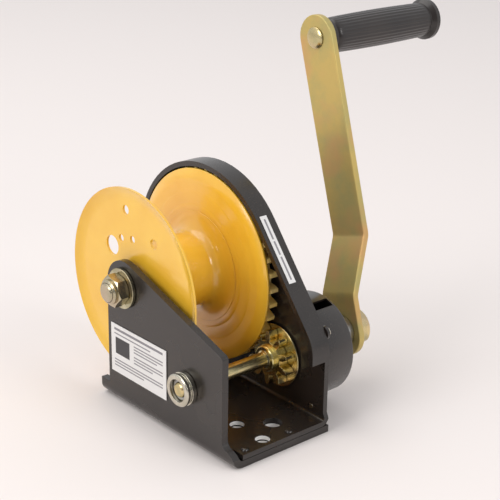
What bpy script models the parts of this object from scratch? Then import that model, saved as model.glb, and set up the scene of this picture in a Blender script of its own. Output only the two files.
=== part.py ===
# Hand-cranked boat trailer winch with a friction brake.
# Lengths are millimetres until they reach a mesh, which is in metres.
# X runs along the drum axis toward the crank, Y to the rear, Z up.
import math

import bmesh
import bpy

MM = 0.001
GAP = 0.3
RUN = 0.1
BORE_MORE = 2.0
TAU = 2.0 * math.pi

# Base and side plates
BASE_W = 80.0
BASE_D = 138.0
SIDE_T = 4.8
GEAR_T = 3.4
BEND_IN = 2.5
SIDE_X = -BASE_W / 2.0
SIDE_IN = SIDE_X + SIDE_T
GEAR_OUT = BASE_W / 2.0
GEAR_IN = GEAR_OUT - GEAR_T
FOOT_Z0 = SIDE_T + GAP
FOOT_TOP = FOOT_Z0 + GEAR_T

# Gear train: the drum's axis stands up and back from the shaft's
MODULE = 3.175
RING_TEETH = 40
PINION_TEETH = 10
CENTRE_DIST = MODULE * (RING_TEETH + PINION_TEETH) / 2.0
RING_PITCH_R = MODULE * RING_TEETH / 2.0
CENTRE_RISE = math.radians(35.4)
SHAFT_Y = -23.0
SHAFT_Z = 39.02
DRUM_Y = SHAFT_Y + CENTRE_DIST * math.cos(CENTRE_RISE)
DRUM_Z = SHAFT_Z + CENTRE_DIST * math.sin(CENTRE_RISE)
MESH_ANGLE = CENTRE_RISE + math.pi
PRESSURE = math.radians(20.0)
BACKLASH = 0.45
FACE_W = 6.1

# Outlines of the two plates
SIDE_FRONT = -57.7
SIDE_TOP_R = 18.0
SIDE_REAR = DRUM_Y + SIDE_TOP_R
SIDE_SLOPE = math.radians(18.2)
SIDE_CORNER_R = 3.0
FOOT_STEP_Z = 11.5
FOOT_EASE = 5.0
GEAR_FRONT = -67.0
GEAR_CORNER_R = 24.0
GUARD_DEPTH = 14.3
GUARD_X0 = GEAR_OUT - GUARD_DEPTH
GUARD_END_Z = DRUM_Z - 35.5
GUARD_R = RING_PITCH_R + MODULE + GEAR_T + 0.6
GUARD_SLANT = math.radians(141.0)
GUARD_REAR = math.radians(-42.0)

# Drum
FLANGE_T = 1.6
RING_X1 = GEAR_IN - 2.6
RING_X0 = RING_X1 - FACE_W
LEFT_FLANGE_X = SIDE_IN + 5.4
LEFT_FLANGE_R = RING_PITCH_R + 1.5
RIGHT_FLANGE_X = RING_X0 - 4.9
RIGHT_FLANGE_R = RING_PITCH_R + 2.5
LIP = 3.0
LIP_W = 12.0
CORE_R = 25.0
CORE_WALL = 2.4
FLANGE_HOLES = (
    (49.3, 79.0, 3.2),
    (31.8, 39.0, 6.6),
    (31.4, 62.0, 2.5),
    (30.1, 85.0, 2.5),
    (39.0, 121.0, 3.5),
)
WEB_R = RING_PITCH_R - 13.5
WEB_T = 3.6
RIVET_R = 3.0
RIVET_PITCH_R = WEB_R - 12.0
RIVET_PHASE = 0.3
RIVETS = 6

# Drum axle
BOLT_R = 6.35
SLEEVE_R = 8.3
BUSH_R = 11.0
BUSH_COLLAR_R = 14.0
BUSH_COLLAR_T = 2.2
BUSH_LEN = 9.0
WASHER_R = 13.5
WASHER_T = 2.4
NUT_AF = 19.0
NUT_TURN = math.radians(11.0)
NUT_T = 7.6
HEAD_T = 8.0
COLLAR_R = 8.2
COLLAR_T = 2.6
BOLT_TIP = 1.2

# Input shaft
SHAFT_R = 4.8
STEP_R = 6.0
SHAFT_X0 = SIDE_X - 6.6
PINION_X1 = GEAR_IN - 2.4
PINION_X0 = PINION_X1 - 7.0
PINION_COLLAR_R = STEP_R + 3.0
PINION_COLLAR_X = PINION_X0 - 3.0
SHAFT_STEP_X = PINION_COLLAR_X - 1.0
DISC_R = MODULE * (PINION_TEETH / 2.0 + 1.0) + 2.45
DISC_T = 1.3
END_BUSH_R = 11.0
END_BUSH_OUT = 7.5
PLATE_BUSH_R = 9.0
PLATE_BUSH_LIP = 3.0
PLATE_BUSH_LIP_T = 2.2
RECESS_R = 7.4

# Brake
BRAKE_X = GEAR_OUT + 2.9
BRAKE_DISC_T = 4.0
BRAKE_DISC_R = 17.0
LINING_T = 2.0
LINING_R = 18.5
RATCHET_T = 6.0
RATCHET_R = 21.5
RATCHET_ROOT = 17.6
RATCHET_TEETH = 12
RATCHET_FACE = math.radians(106.0)
HUB_TUBE_R = 11.0
HUB_SPIGOT_R = 8.5
PAWL_PIVOT_R = 26.5
PAWL_PIVOT_A = math.radians(75.0)
PAWL_BOSS_R = 5.0
PAWL_PIN_R = 2.5
PAWL_LIFT = math.radians(17.0)
SPRING_WIRE_R = 0.42
SPRING_PITCH = 1.15
SPRING_TURNS = 2.5
SPRING_STEPS = 30
SPRING_START = math.radians(150.0)
SPRING_LEG = 3.8
HUB_X = BRAKE_X + BRAKE_DISC_T + 2.0 * LINING_T + RATCHET_T + 4.0 * GAP
COVER_R = 34.5
COVER_T = 1.6
COVER_X1 = HUB_X + 14.9
COVER_SLOT = (104.0, 116.0)
FRONT_RUN = DRUM_Y + GUARD_R * math.cos(GUARD_SLANT) - GEAR_FRONT
FRONT_CORNER_Z = DRUM_Z + GUARD_R * math.sin(GUARD_SLANT) - FRONT_RUN * math.tan(GUARD_SLANT - math.pi / 2.0)
TOP_EAR_Y = GEAR_FRONT + 6.5 - SHAFT_Y
TOP_EAR_Z = FRONT_CORNER_Z + 3.2 - SHAFT_Z
TOP_EAR = (math.hypot(TOP_EAR_Y, TOP_EAR_Z), math.degrees(math.atan2(TOP_EAR_Z, TOP_EAR_Y)))
EARS = (TOP_EAR, (COVER_R + 6.5, 218.0), (COVER_R + 5.5, 330.0))
EAR_T = 2.0
EAR_TIP_R = 4.6
SCREW_R = 2.0
SCREW_HEAD_R = 3.7
SCREW_HEAD_T = 2.4

# Crank
CRANK_LEN = 198.0
CRANK_LEAN = math.radians(16.6)
ARM_W = 31.0
ARM_T = 5.0
ARM_X = COVER_X1 + 23.5
ARM_TAIL = 2.5
SHAFT_X1 = ARM_X + 14.0
ARM_OFFSET = 19.0
ARM_BEND_0 = 24.0
ARM_BEND_1 = 62.0
ARM_BEND_R = 9.0
CRANK_NUT_R = 13.0
CRANK_NUT_T = 9.5
GRIP_LEN = 105.0
GRIP_R = 12.2
GRIP_END_R = 14.5
GRIP_RIBS = 24
GRIP_RIB = 0.35
GRIP_GAP = 0.8
PIN_R = 4.0
PIN_HEAD_R = 7.4

# Labels
LABEL_CLEAR = 8.7
LABEL_W = SIDE_REAR - 4.0 - (SHAFT_Y + END_BUSH_R + LABEL_CLEAR)
LABEL_H = 34.5
LABEL_T = 0.4
LABEL_GAP = 0.2
LABEL_Y = SIDE_REAR - 4.0 - LABEL_W / 2.0
LABEL_Z = 39.3
STRIP_START = -4.0
STRIP_LEN = 47.0
STRIP_W = 5.5

# Holes through the base: x, distance in from the front or rear edge, radius
HOLE_ROWS = (
    (-0.12 * BASE_W, 8.0, 4.9),
    (-0.12 * BASE_W, 32.5, 4.9),
    (0.12 * BASE_W, 20.0, 6.2),
)
RIVET_COLUMNS = (-0.335 * BASE_W, 0.12 * BASE_W)
RIVET_INSET = 4.8
BASE_RIVET_R = 2.5
BASE_HOLES = [(x, side * (BASE_D / 2.0 - inset), r) for side in (-1.0, 1.0) for x, inset, r in HOLE_ROWS]
BASE_RIVETS = [(x, side * (BASE_D / 2.0 - RIVET_INSET)) for side in (-1.0, 1.0) for x in RIVET_COLUMNS]

# Pieces that turn with the shaft and the crank, about the shaft's axis
SHAFT_PIECES = (
    "input_shaft",
    "pinion",
    "pinion_disc",
    "retaining_ring",
    "brake_disc",
    "ratchet_wheel",
    "crank_hub",
    "crank_arm",
    "crank_nut",
    "grip_pin",
)


def material(name, color, metallic, roughness):
    mat = bpy.data.materials.new(name)
    mat.use_nodes = True
    shader = mat.node_tree.nodes["Principled BSDF"]
    shader.inputs["Base Color"].default_value = (color[0], color[1], color[2], 1.0)
    shader.inputs["Metallic"].default_value = metallic
    shader.inputs["Roughness"].default_value = roughness
    return mat


def finish_object(bm, name, mat=None, smooth=False):
    bmesh.ops.remove_doubles(bm, verts=bm.verts, dist=1e-7)
    bmesh.ops.recalc_face_normals(bm, faces=bm.faces)
    for face in bm.faces:
        face.smooth = smooth
    mesh = bpy.data.meshes.new(name)
    bm.to_mesh(mesh)
    bm.free()
    obj = bpy.data.objects.new(name, mesh)
    bpy.context.scene.collection.objects.link(obj)
    if mat is not None:
        mesh.materials.append(mat)
    return obj


def add_prism(bm, outline, x0, x1):
    """Extrude a closed YZ outline between two X positions."""
    low = [bm.verts.new((x0 * MM, y * MM, z * MM)) for y, z in outline]
    high = [bm.verts.new((x1 * MM, y * MM, z * MM)) for y, z in outline]
    count = len(outline)
    bm.faces.new(low)
    bm.faces.new(list(reversed(high)))
    for i in range(count):
        j = (i + 1) % count
        bm.faces.new((low[i], low[j], high[j], high[i]))


def add_section(bm, outline, y0, y1):
    """Extrude a closed XZ outline between two Y positions."""
    near = [bm.verts.new((x * MM, y0 * MM, z * MM)) for x, z in outline]
    far = [bm.verts.new((x * MM, y1 * MM, z * MM)) for x, z in outline]
    count = len(outline)
    bm.faces.new(near)
    bm.faces.new(list(reversed(far)))
    for i in range(count):
        j = (i + 1) % count
        bm.faces.new((near[i], near[j], far[j], far[i]))


def add_turned(bm, profile, centre, steps=36):
    """Turn a closed (x, r) profile about an axis along X."""
    rings = []
    for x, r in profile:
        ring = []
        for k in range(steps):
            a = TAU * k / steps
            y = centre[0] + r * math.cos(a)
            z = centre[1] + r * math.sin(a)
            ring.append(bm.verts.new((x * MM, y * MM, z * MM)))
        rings.append(ring)
    count = len(profile)
    for i in range(count):
        a_ring = rings[i]
        b_ring = rings[(i + 1) % count]
        both_on_axis = profile[i][1] == 0.0 and profile[(i + 1) % count][1] == 0.0
        if both_on_axis:
            continue
        for k in range(steps):
            j = (k + 1) % steps
            bm.faces.new((a_ring[k], a_ring[j], b_ring[j], b_ring[k]))


def add_upright(bm, centre, rows, steps=20):
    """Upright turned solid from (z, r) rows, capped at both ends."""
    rings = []
    for z, r in rows:
        ring = []
        for k in range(steps):
            a = TAU * k / steps
            x = (centre[0] + r * math.cos(a)) * MM
            y = (centre[1] + r * math.sin(a)) * MM
            ring.append(bm.verts.new((x, y, z * MM)))
        rings.append(ring)
    bm.faces.new(rings[0])
    bm.faces.new(list(reversed(rings[-1])))
    for low, high in zip(rings[:-1], rings[1:]):
        for k in range(steps):
            j = (k + 1) % steps
            bm.faces.new((low[k], low[j], high[j], high[k]))


def add_post(bm, centre, radius, z0, z1, steps=20):
    add_upright(bm, centre, [(z0, radius), (z1, radius)], steps)


def tube_profile(x0, x1, inner, outer, edge=0.4):
    return [
        (x0, inner),
        (x0, outer - edge),
        (x0 + edge, outer),
        (x1 - edge, outer),
        (x1, outer - edge),
        (x1, inner),
    ]


def arc_points(centre, radius, a0, a1, steps):
    points = []
    for k in range(steps + 1):
        a = a0 + (a1 - a0) * k / steps
        points.append((centre[0] + radius * math.cos(a), centre[1] + radius * math.sin(a)))
    return points


def hexagon(centre, across, phase=0.0):
    radius = across / math.sqrt(3.0)
    points = []
    for k in range(6):
        a = phase + TAU * k / 6
        points.append((centre[0] + radius * math.cos(a), centre[1] + radius * math.sin(a)))
    return points


def polar(centre, radius, angle):
    return (centre[0] + radius * math.cos(angle), centre[1] + radius * math.sin(angle))


def turned_about(centre, spot, angle):
    """Turn a YZ point about a centre."""
    dy = spot[0] - centre[0]
    dz = spot[1] - centre[1]
    y = centre[0] + dy * math.cos(angle) - dz * math.sin(angle)
    z = centre[1] + dy * math.sin(angle) + dz * math.cos(angle)
    return (y, z)


def combine(target, bm, operation):
    """Boolean the solids in bm with the target, then drop them."""
    tool = finish_object(bm, "tool")
    tool.hide_render = True
    tool.display_type = "WIRE"
    mod = target.modifiers.new("shape", "BOOLEAN")
    mod.operation = operation
    mod.solver = "EXACT"
    mod.object = tool
    bpy.context.view_layer.objects.active = target
    bpy.ops.object.modifier_apply(modifier=mod.name)
    bpy.data.objects.remove(tool)
    return target


def soften(obj, width, segments=1, angle=35.0):
    mod = obj.modifiers.new("edges", "BEVEL")
    mod.width = width * MM
    mod.segments = segments
    mod.limit_method = "ANGLE"
    mod.angle_limit = math.radians(angle)
    return obj


# ---- frame -------------------------------------------------------------

def side_outline():
    """YZ outline shared by the side plate and the sheet below it."""
    half = BASE_D / 2.0
    start = math.radians(90.0) + SIDE_SLOPE
    touch = polar((DRUM_Y, DRUM_Z), SIDE_TOP_R, start)
    corner_z = touch[1] - (touch[0] - SIDE_FRONT) * math.tan(SIDE_SLOPE)
    back_off = SIDE_CORNER_R * math.tan((math.pi / 2.0 - SIDE_SLOPE) / 2.0)
    corner = (SIDE_FRONT + SIDE_CORNER_R, corner_z - back_off)
    points = [(-half, -1.0), (half, -1.0), (half, FOOT_STEP_Z), (SIDE_REAR, FOOT_STEP_Z)]
    points += arc_points((DRUM_Y, DRUM_Z), SIDE_TOP_R, 0.0, start, 14)
    points += arc_points(corner, SIDE_CORNER_R, start, math.pi, 4)
    ease = (SIDE_FRONT - FOOT_EASE, FOOT_STEP_Z + FOOT_EASE - 1.0)
    points += arc_points(ease, FOOT_EASE, 0.0, -math.pi / 2.0, 4)
    points.append((2.0 - half, FOOT_STEP_Z - 3.0))
    points.append((-half, FOOT_STEP_Z - 5.0))
    return points


def bore(x0, x1, radius):
    """Profile of a plug that cuts a round hole from x0 to x1."""
    return [(x0, 0.0), (x0, radius), (x1, radius), (x1, 0.0)]


def side_frame(mat):
    outer = BEND_IN + SIDE_T
    section = [(BASE_W / 2.0, 0.0), (BASE_W / 2.0, SIDE_T), (SIDE_IN + BEND_IN, SIDE_T)]
    section += arc_points((SIDE_IN + BEND_IN, outer), BEND_IN, -math.pi / 2.0, -math.pi, 6)
    section += [(SIDE_IN, 120.0), (SIDE_X, 120.0)]
    section += arc_points((SIDE_X + outer, outer), outer, math.pi, 1.5 * math.pi, 8)
    bm = bmesh.new()
    add_section(bm, section, -BASE_D / 2.0, BASE_D / 2.0)
    plate = finish_object(bm, "side_frame", mat)
    bm = bmesh.new()
    add_prism(bm, side_outline(), SIDE_X - 5.0, BASE_W / 2.0 + 5.0)
    combine(plate, bm, "INTERSECT")
    bm = bmesh.new()
    x0 = SIDE_X - BORE_MORE
    x1 = SIDE_IN + BORE_MORE
    add_turned(bm, bore(x0, x1, BOLT_R + GAP), (DRUM_Y, DRUM_Z), 28)
    add_turned(bm, bore(x0, x1, PLATE_BUSH_R + GAP), (SHAFT_Y, SHAFT_Z), 28)
    for x, y, r in BASE_HOLES:
        add_post(bm, (x, y), r, -BORE_MORE, SIDE_T + BORE_MORE)
    for x, y in BASE_RIVETS:
        add_post(bm, (x, y), BASE_RIVET_R + GAP, -BORE_MORE, SIDE_T + BORE_MORE, 12)
    combine(plate, bm, "DIFFERENCE")
    return plate


def gear_outline(inset):
    """Round, front corner and front line of the gear plate, pulled in by inset."""
    radius = GUARD_R - inset
    drum = (DRUM_Y, DRUM_Z)
    round_part = arc_points(drum, radius, GUARD_REAR, GUARD_SLANT, 36)
    slope = GUARD_SLANT - math.pi / 2.0
    touch = round_part[-1]
    front = GEAR_FRONT + inset
    corner_z = touch[1] - (touch[0] - front) * math.tan(slope)
    corner_r = GEAR_CORNER_R - inset
    back_off = corner_r * math.tan((math.pi / 2.0 - slope) / 2.0)
    centre = (front + corner_r, corner_z - back_off)
    corner_arc = arc_points(centre, corner_r, GUARD_SLANT, math.pi, 8)
    return round_part, corner_arc, front


def gear_section():
    """XZ section of the gear plate: foot, bend and upright."""
    foot_x = SIDE_IN + BEND_IN + GAP
    outer = BEND_IN + GEAR_T
    centre = (GEAR_OUT - outer, FOOT_Z0 + outer)
    top = DRUM_Z + GUARD_R + 10.0
    section = [(foot_x, FOOT_Z0), (centre[0], FOOT_Z0)]
    section += arc_points(centre, outer, -math.pi / 2.0, 0.0, 8)[1:]
    section += [(GEAR_OUT, top), (GEAR_IN, top)]
    section += arc_points(centre, BEND_IN, 0.0, -math.pi / 2.0, 6)
    section.append((foot_x, FOOT_TOP))
    return section


def gear_holes(plate):
    """Holes for the axle, bush, pawl pin, cover screws, bolts and rivets."""
    bm = bmesh.new()
    x0 = GEAR_IN - BORE_MORE
    x1 = GEAR_OUT + BORE_MORE
    add_turned(bm, bore(x0, x1, BOLT_R + GAP), (DRUM_Y, DRUM_Z), 28)
    add_turned(bm, bore(x0, x1, PLATE_BUSH_R + GAP), (SHAFT_Y, SHAFT_Z), 28)
    add_turned(bm, bore(x0, x1, PAWL_PIN_R + GAP), pawl_pivot(), 20)
    for spot in ear_spots():
        add_turned(bm, bore(x0, x1, SCREW_R + GAP), spot, 12)
    z0 = FOOT_Z0 - BORE_MORE
    z1 = FOOT_TOP + BORE_MORE
    for x, y, r in BASE_HOLES:
        add_post(bm, (x, y), r, z0, z1)
    for x, y in BASE_RIVETS:
        add_post(bm, (x, y), BASE_RIVET_R + GAP, z0, z1, 12)
    return combine(plate, bm, "DIFFERENCE")


def gear_frame(mat):
    """Plate with a foot below and a guard standing in over the gear."""
    half = BASE_D / 2.0
    bm = bmesh.new()
    add_section(bm, gear_section(), -half, DRUM_Y + GUARD_R + 2.0)
    plate = finish_object(bm, "gear_frame", mat)

    y0 = -half - 3.0
    y1 = DRUM_Y + GUARD_R + 4.0
    top = DRUM_Z + GUARD_R + 5.0
    bm = bmesh.new()
    add_prism(bm, [(y0, GUARD_END_Z), (y1, GUARD_END_Z), (y1, top), (y0, top)], GUARD_X0, GEAR_IN + 1.0)
    combine(plate, bm, "UNION")

    round_part, corner_arc, front = gear_outline(0.0)
    outline = round_part + corner_arc
    outline += [(front, FOOT_TOP + 5.0), (0.1 - half, FOOT_TOP + 1.0), (0.1 - half, 1.0)]
    outline += [(half - 0.1, 1.0), (half - 0.1, FOOT_TOP + 1.0)]
    bm = bmesh.new()
    add_prism(bm, outline, -BASE_W, BASE_W)
    combine(plate, bm, "INTERSECT")

    inner_round, inner_corner, _ = gear_outline(GEAR_T)
    below = GUARD_END_Z - 1.0
    hollow = [spot for spot in inner_round + inner_corner if spot[1] > GUARD_END_Z]
    hollow += [(hollow[-1][0], below), (hollow[0][0] - 1.0, below)]
    bm = bmesh.new()
    add_prism(bm, hollow, GUARD_X0 - BORE_MORE, GEAR_IN)
    combine(plate, bm, "DIFFERENCE")
    return gear_holes(plate)


def base_rivets(mat):
    r = BASE_RIVET_R
    rows = [(0.4, r), (FOOT_TOP, r), (FOOT_TOP + 0.7, r * 0.8), (FOOT_TOP + 1.1, r * 0.4)]
    for number, spot in enumerate(BASE_RIVETS, 1):
        bm = bmesh.new()
        add_upright(bm, spot, rows, 12)
        finish_object(bm, "base_rivet_%d" % number, mat, True)


def pawl_pivot():
    return polar((SHAFT_Y, SHAFT_Z), PAWL_PIVOT_R, PAWL_PIVOT_A)


def ear_spots():
    return [polar((SHAFT_Y, SHAFT_Z), r, math.radians(a)) for r, a in EARS]


def side_label(mat):
    bm = bmesh.new()
    x1 = SIDE_X - LABEL_GAP
    y0 = LABEL_Y - LABEL_W / 2.0
    z0 = LABEL_Z - LABEL_H / 2.0
    corners = [(y0, z0), (y0 + LABEL_W, z0), (y0 + LABEL_W, z0 + LABEL_H), (y0, z0 + LABEL_H)]
    add_prism(bm, corners, x1 - LABEL_T, x1)
    return finish_object(bm, "side_label", mat)


def guard_label(mat):
    """Narrow strip lying on the slanted run of the guard."""
    slope = GUARD_SLANT - math.pi / 2.0
    touch = polar((DRUM_Y, DRUM_Z), GUARD_R, GUARD_SLANT)
    along = (-math.cos(slope), -math.sin(slope))
    out = (math.cos(GUARD_SLANT), math.sin(GUARD_SLANT))
    corners = []
    end = STRIP_START + STRIP_LEN
    for s, h in ((STRIP_START, 0.0), (end, 0.0), (end, LABEL_T), (STRIP_START, LABEL_T)):
        lift = LABEL_GAP + h
        y = touch[0] + along[0] * s + out[0] * lift
        z = touch[1] + along[1] * s + out[1] * lift
        corners.append((y, z))
    bm = bmesh.new()
    x0 = GUARD_X0 + 3.0
    add_prism(bm, corners, x0, x0 + STRIP_W)
    return finish_object(bm, "guard_label", mat)


# ---- drum axle ---------------------------------------------------------

def axle_bolt(mat):
    axis = (DRUM_Y, DRUM_Z)
    head_x = GEAR_OUT + GAP + WASHER_T + GAP
    tip_x = SIDE_X - GAP - WASHER_T - GAP - NUT_T - COLLAR_T - BOLT_TIP
    shank_x = head_x + 1.0
    shank = [(tip_x, 0.0), (tip_x, BOLT_R - 1.0), (tip_x + 1.0, BOLT_R)]
    shank += [(shank_x, BOLT_R), (shank_x, 0.0)]
    bm = bmesh.new()
    add_turned(bm, shank, axis, 28)
    bolt = finish_object(bm, "axle_bolt", mat, True)
    bm = bmesh.new()
    add_prism(bm, hexagon(axis, NUT_AF), head_x, head_x + HEAD_T)
    combine(bolt, bm, "UNION")
    bm = bmesh.new()
    x1 = head_x + HEAD_T
    back = tip_x - BORE_MORE
    cone = [(back, 0.0), (back, 11.4), (x1 - 1.4, 11.4), (x1, 9.4), (x1, 0.0)]
    add_turned(bm, cone, axis, 32)
    combine(bolt, bm, "INTERSECT")
    return bolt


def axle_nut(mat):
    """Hexagon nut with a round locking collar outside it."""
    axis = (DRUM_Y, DRUM_Z)
    x1 = SIDE_X - GAP - WASHER_T - GAP
    x0 = x1 - NUT_T
    bm = bmesh.new()
    add_prism(bm, hexagon(axis, NUT_AF, NUT_TURN), x0, x1)
    nut = finish_object(bm, "axle_nut", mat)
    bm = bmesh.new()
    cone = [(x0, 0.0), (x0, 9.5), (x0 + 1.2, 11.2), (x1 - 1.2, 11.2), (x1, 9.8), (x1, 0.0)]
    add_turned(bm, cone, axis, 32)
    combine(nut, bm, "INTERSECT")
    bm = bmesh.new()
    c0 = x0 - COLLAR_T
    c1 = x0 + 0.5
    ring = [(c0, 0.0), (c0, COLLAR_R - 1.2), (c0 + 1.2, COLLAR_R), (c1, COLLAR_R), (c1, 0.0)]
    add_turned(bm, ring, axis, 32)
    combine(nut, bm, "UNION")
    bm = bmesh.new()
    add_turned(bm, bore(c0 - BORE_MORE, x1 + BORE_MORE, BOLT_R + GAP), axis, 28)
    combine(nut, bm, "DIFFERENCE")
    return nut


def axle_washers(mat):
    axis = (DRUM_Y, DRUM_Z)
    for side, x0 in (("left", SIDE_X - GAP - WASHER_T), ("right", GEAR_OUT + GAP)):
        bm = bmesh.new()
        add_turned(bm, tube_profile(x0, x0 + WASHER_T, BOLT_R + GAP, WASHER_R, 0.5), axis)
        finish_object(bm, "axle_washer_" + side, mat)


def axle_sleeve(mat):
    bm = bmesh.new()
    profile = tube_profile(SIDE_IN + GAP, GEAR_IN - GAP, BOLT_R + GAP, SLEEVE_R)
    add_turned(bm, profile, (DRUM_Y, DRUM_Z), 32)
    return finish_object(bm, "axle_sleeve", mat)


# ---- drum --------------------------------------------------------------

def flange_profile(x, radius, side, hole):
    """Flat disc whose outer edge flares away from the rope space."""
    t = FLANGE_T / 2.0
    lip_r = radius - LIP_W
    path = [(hole, 0.0), (lip_r, 0.0)]
    for k in range(1, 4):
        u = k / 3.0
        path.append((lip_r + LIP_W * u, LIP * u * u))
    near = [(x + side * rise - t, r) for r, rise in path]
    far = [(x + side * rise + t, r) for r, rise in path]
    return near + list(reversed(far))


def drum_flange(name, mat, x, radius, side):
    bm = bmesh.new()
    add_turned(bm, flange_profile(x, radius, side, BUSH_R + GAP), (DRUM_Y, DRUM_Z), 56)
    return finish_object(bm, name, mat, True)


def rivet_spots():
    """Rivets that hold the ring gear to its flange."""
    turns = [TAU * k / RIVETS + RIVET_PHASE for k in range(RIVETS)]
    return [polar((DRUM_Y, DRUM_Z), RIVET_PITCH_R, a) for a in turns]


def left_flange(mat):
    flange = drum_flange("drum_flange_left", mat, LEFT_FLANGE_X, LEFT_FLANGE_R, -1.0)
    bm = bmesh.new()
    x0 = LEFT_FLANGE_X - BORE_MORE
    x1 = LEFT_FLANGE_X + BORE_MORE
    for r, a, hole in FLANGE_HOLES:
        spot = polar((DRUM_Y, DRUM_Z), r, math.radians(a))
        add_turned(bm, bore(x0, x1, hole), spot, 16)
    return combine(flange, bm, "DIFFERENCE")


def right_flange(mat):
    flange = drum_flange("drum_flange_right", mat, RIGHT_FLANGE_X, RIGHT_FLANGE_R, 1.0)
    bm = bmesh.new()
    x0 = RIGHT_FLANGE_X - BORE_MORE
    x1 = RIGHT_FLANGE_X + BORE_MORE
    for spot in rivet_spots():
        add_turned(bm, bore(x0, x1, RIVET_R + GAP), spot, 12)
    return combine(flange, bm, "DIFFERENCE")


def drum_core(mat):
    bm = bmesh.new()
    x0 = LEFT_FLANGE_X + FLANGE_T / 2.0 + GAP
    x1 = RIGHT_FLANGE_X - FLANGE_T / 2.0 - GAP
    wall = CORE_R - CORE_WALL
    outline = [(x0, wall), (x0, CORE_R), (x1 - 4.0, CORE_R)]
    outline += [(x1 - 1.6, CORE_R + 0.8), (x1, CORE_R + 2.4), (x1, wall)]
    add_turned(bm, outline, (DRUM_Y, DRUM_Z), 40)
    return finish_object(bm, "drum_core", mat, True)


def gear_outline_points(centre, teeth, phase, trim):
    """Involute spur outline; trim shortens the tips."""
    pitch = MODULE * teeth / 2.0
    base = pitch * math.cos(PRESSURE)
    tip = pitch + MODULE - trim
    root = pitch - 1.25 * MODULE
    inv_p = math.tan(PRESSURE) - PRESSURE
    half = math.pi / (2.0 * teeth) - BACKLASH / (2.0 * pitch)
    low = max(base, root + 0.2)
    flank = []
    for k in range(3):
        r = low + (tip - low) * k / 2.0
        roll = math.acos(min(1.0, base / r))
        flank.append((r, half + inv_p - (math.tan(roll) - roll)))
    points = []
    for k in range(teeth):
        mid = phase + TAU * k / teeth
        points.append(polar(centre, root, mid - flank[0][1] - 0.10 / teeth))
        for r, a in flank:
            points.append(polar(centre, r, mid - a))
        for r, a in reversed(flank):
            points.append(polar(centre, r, mid + a))
        points.append(polar(centre, root, mid + flank[0][1] + 0.10 / teeth))
    return points


def ring_gear(mat):
    """Toothed ring with a dished web that lies on the right flange."""
    axis = (DRUM_Y, DRUM_Z)
    bm = bmesh.new()
    teeth = gear_outline_points(axis, RING_TEETH, MESH_ANGLE, 0.4)
    add_prism(bm, teeth, RING_X0, RING_X1)
    gear = finish_object(bm, "ring_gear", mat)
    boss_x = RIGHT_FLANGE_X + FLANGE_T / 2.0 + GAP
    web_x = boss_x + WEB_T
    bm = bmesh.new()
    add_turned(bm, bore(boss_x, RING_X0 + 1.0, WEB_R), axis, 48)
    combine(gear, bm, "UNION")
    bm = bmesh.new()
    add_turned(bm, bore(web_x, RING_X1 + BORE_MORE, WEB_R - 1.0), axis, 48)
    combine(gear, bm, "DIFFERENCE")
    bm = bmesh.new()
    x0 = boss_x - BORE_MORE
    x1 = web_x + BORE_MORE
    add_turned(bm, bore(x0, x1, BUSH_R + GAP), axis, 28)
    for spot in rivet_spots():
        add_turned(bm, bore(x0, x1, RIVET_R + GAP), spot, 12)
    return combine(gear, bm, "DIFFERENCE")


def gear_rivets(mat):
    x0 = RIGHT_FLANGE_X - FLANGE_T / 2.0
    head = RIGHT_FLANGE_X + FLANGE_T / 2.0 + GAP + WEB_T + GAP
    r = RIVET_R
    profile = [(x0, 0.0), (x0, r), (head, r), (head, r + 1.6), (head + 1.4, r + 0.6), (head + 1.8, 0.0)]
    for number, spot in enumerate(rivet_spots(), 1):
        bm = bmesh.new()
        add_turned(bm, profile, spot, 12)
        finish_object(bm, "gear_rivet_%d" % number, mat, True)


def drum_bushes(mat):
    axis = (DRUM_Y, DRUM_Z)
    hole = SLEEVE_R + RUN
    left = LEFT_FLANGE_X - FLANGE_T / 2.0 - GAP
    right = RIGHT_FLANGE_X + FLANGE_T / 2.0 + GAP + WEB_T + GAP
    for name, face, side in (("left", left, -1.0), ("right", right, 1.0)):
        lip = face + side * BUSH_COLLAR_T
        inner = face - side * BUSH_LEN
        profile = [(lip, hole), (lip, BUSH_COLLAR_R), (face, BUSH_COLLAR_R)]
        profile += [(face, BUSH_R), (inner, BUSH_R), (inner, hole)]
        bm = bmesh.new()
        add_turned(bm, profile, axis, 32)
        finish_object(bm, "drum_bush_" + name, mat)


# ---- input shaft -------------------------------------------------------

def input_shaft(mat):
    bm = bmesh.new()
    profile = [
        (SHAFT_X0, 0.0),
        (SHAFT_X0, SHAFT_R - 1.0),
        (SHAFT_X0 + 1.0, SHAFT_R),
        (SHAFT_STEP_X, SHAFT_R),
        (SHAFT_STEP_X + 0.8, STEP_R),
        (SHAFT_X1 - 0.8, STEP_R),
        (SHAFT_X1, STEP_R - 0.8),
        (SHAFT_X1, 0.0),
    ]
    add_turned(bm, profile, (SHAFT_Y, SHAFT_Z), 32)
    return finish_object(bm, "input_shaft", mat, True)


def pinion(mat):
    axis = (SHAFT_Y, SHAFT_Z)
    phase = MESH_ANGLE + math.pi + math.pi / PINION_TEETH
    bm = bmesh.new()
    add_prism(bm, gear_outline_points(axis, PINION_TEETH, phase, 0.2), PINION_X0, PINION_X1)
    gear = finish_object(bm, "pinion", mat)
    bm = bmesh.new()
    r = PINION_COLLAR_R
    x0 = PINION_COLLAR_X
    x1 = PINION_X0 + 1.0
    add_turned(bm, [(x0, 0.0), (x0, r - 0.8), (x0 + 0.8, r), (x1, r), (x1, 0.0)], axis, 32)
    combine(gear, bm, "UNION")
    bm = bmesh.new()
    add_turned(bm, bore(x0 - BORE_MORE, PINION_X1 + BORE_MORE, STEP_R + GAP), axis, 28)
    combine(gear, bm, "DIFFERENCE")
    return gear


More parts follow.
